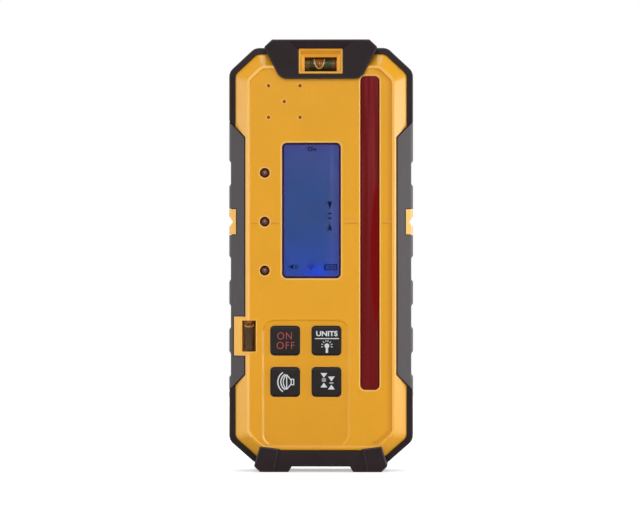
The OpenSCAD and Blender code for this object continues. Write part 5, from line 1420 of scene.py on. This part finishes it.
insert = shape("clamp_insert_form", lathe(insert_path, (0, 0, CLAMP_Z), "y"))
mark(insert, "painted_shade", bore_shade)
dress(insert, brass, replaces=["clamp_insert"])

# %% [markdown]
# ## Camera, light and floor
# The picture is taken straight from the front with a long lens. Two tall lights stand a little
# behind the sides of the case, the right one stronger, so that the sloped bands shine pale while
# the panel keeps its colour. A broad light above the camera lights the front.

# %% Camera
cam_data = bpy.data.cameras.new("camera")
camera = bpy.data.objects.new("camera", cam_data)
scene.collection.objects.link(camera)
scene.camera = camera
PICTURE_W, PIXEL, DISTANCE, SENSOR = 640, 0.000399, 1.7, 36.0
cam_data.sensor_width = SENSOR
cam_data.lens = SENSOR * DISTANCE / (PICTURE_W * PIXEL)
YAW, AIM = math.radians(1.3), np.array([-0.0003, CREST_Y * MM, 0.0862])
camera.location = AIM + DISTANCE * np.array([math.sin(YAW), -math.cos(YAW), 0.0])
camera.rotation_euler = (math.pi / 2, 0, YAW)
print("lens:", round(cam_data.lens, 1), "mm")

# %% Lights
MIDDLE = Vector((0, 0, 0.086))


def soft_light(name, place, size, radiance):
    """A rectangular light that faces the part's middle; watts are radiance times pi times area."""
    data = bpy.data.lights.new(name, "AREA")
    data.shape, data.size, data.size_y = "RECTANGLE", *size
    data.energy = radiance * math.pi * size[0] * size[1]
    obj = bpy.data.objects.new(name, data)
    obj.rotation_euler = (MIDDLE - Vector(place)).to_track_quat("-Z", "Z").to_euler()
    obj.location = place
    obj.visible_camera = False
    scene.collection.objects.link(obj)


soft_light("front_light", (-0.2, -1.9, 1.05), (1.6, 1.1), 4.2)
soft_light("left_light", (-0.54, 0.03, 0.12), (0.16, 0.6), 2.0)
soft_light("right_light", (0.54, 0.03, 0.12), (0.16, 0.6), 6.2)
soft_light("top_light", (0, 0.1, 0.8), (0.5, 0.4), 4.0)
soft_light("back_light", (0.1, 0.9, 0.7), (0.8, 0.5), 2.6)
print("lights:", [light.name for light in bpy.data.lights])

# %% World and floor
FLOOR_HALF, FILL = 0.9, 0.2


def seen_by(tree, *rays):
    """1 for the named kinds of ray, 0 for the rest."""
    path = tree.nodes.new("ShaderNodeLightPath")
    seen = path.outputs[rays[0]]
    for ray in rays[1:]:
        seen = maths(tree, "MAXIMUM", seen, path.outputs[ray])
    return seen


def white_room():
    """White to camera, mirror and glass rays; a softer fill to the rest."""
    world = bpy.data.worlds.new("room")
    scene.world = world
    world.use_nodes = True
    tree = world.node_tree
    seen = seen_by(tree, "Is Camera Ray", "Is Glossy Ray", "Is Transmission Ray")
    feed(tree, tree.nodes["Background"], Color=(1.0, 1.0, 1.0),
         Strength=remap(tree, seen, 0.0, 1.0, FILL, 1.0))


def pale_floor():
    """A pale matt sheet, which the camera sees lifted to the white of the room, more so farther from the
    part."""
    made, tree, bsdf = new_finish("floor_pale")
    lift = remap(tree, distance(tree, object_place(tree)), 0.25, 0.75, 0.45, 1.0)
    seen = seen_by(tree, "Is Camera Ray", "Is Transmission Ray")
    feed(tree, bsdf, Base_Color=(0.88, 0.88, 0.88), Roughness=0.9, Specular_IOR_Level=0.1,
         Emission_Color=(1.0, 1.0, 1.0), Emission_Strength=maths(tree, "MULTIPLY", seen, lift))
    mesh = bpy.data.meshes.new("floor")
    corners = np.insert(rect(0, 0, 2 * FLOOR_HALF, 2 * FLOOR_HALF), 2, 0.0, axis=1)
    mesh.from_pydata(corners.tolist(), [], [[0, 1, 2, 3]])
    mesh.materials.append(made)
    sheet = bpy.data.objects.new("floor", mesh)
    scene.collection.objects.link(sheet)
    sheet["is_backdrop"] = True


white_room()
pale_floor()
print("room:", scene.world.name, "and a floor", 2 * FLOOR_HALF, "m wide")
scene.view_settings.view_transform = "Standard"

# %% [markdown]
# ## CAD nodes that stay
# The boards, gaskets, contacts and switches inside are right as they come from CAD, so they keep
# their meshes and only get a finish. The record gives each node a material slot, and a table from
# slot to finish dresses them all at once. A few pieces that show in front have a finish of their own.

# %% Finishes for the CAD nodes that stay
SLOT_FINISH = {"yellow_plastic": yellow, "black_rubber": black, "grey_rubber": grey,
               "seal_rubber": seal_black, "key_rubber": key_black, "clear_acrylic": vial_clear,
               "vial_fluid": liquid_green, "display_lens": lens_clear, "display_glass": lcd_blue,
               "diffuser": diffuser, "red_window": red, "lamp_resin": lamp, "board": board,
               "chip_resin": resin, "plunger_plastic": plunger, "cell_can": sleeve,
               "contact_steel": nickel, "steel": steel, "brass": brass}
for part in frame["record"]["subparts"]:
    mesh = NODES[part["node"]].data
    mesh.materials.clear()
    mesh.materials.append(SLOT_FINISH[part["material_slot"]])
# The gasket takes the border's finish, whose glow is painted light.
NODES["display_gasket"].data.materials[0] = border_painted_glow
# The vial plugs take the amber of a painted reflection of the case.
for name in ("top_vial_plug", "side_vial_plug"):
    NODES[name].data.materials[0] = plug_painted_reflection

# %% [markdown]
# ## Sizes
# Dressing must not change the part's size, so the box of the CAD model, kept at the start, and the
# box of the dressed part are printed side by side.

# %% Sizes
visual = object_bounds()
for title, limits in (("CAD box:", CAD_BOX), ("visual box:", visual)):
    print(title, [round(c, 4) for v in limits for c in v])
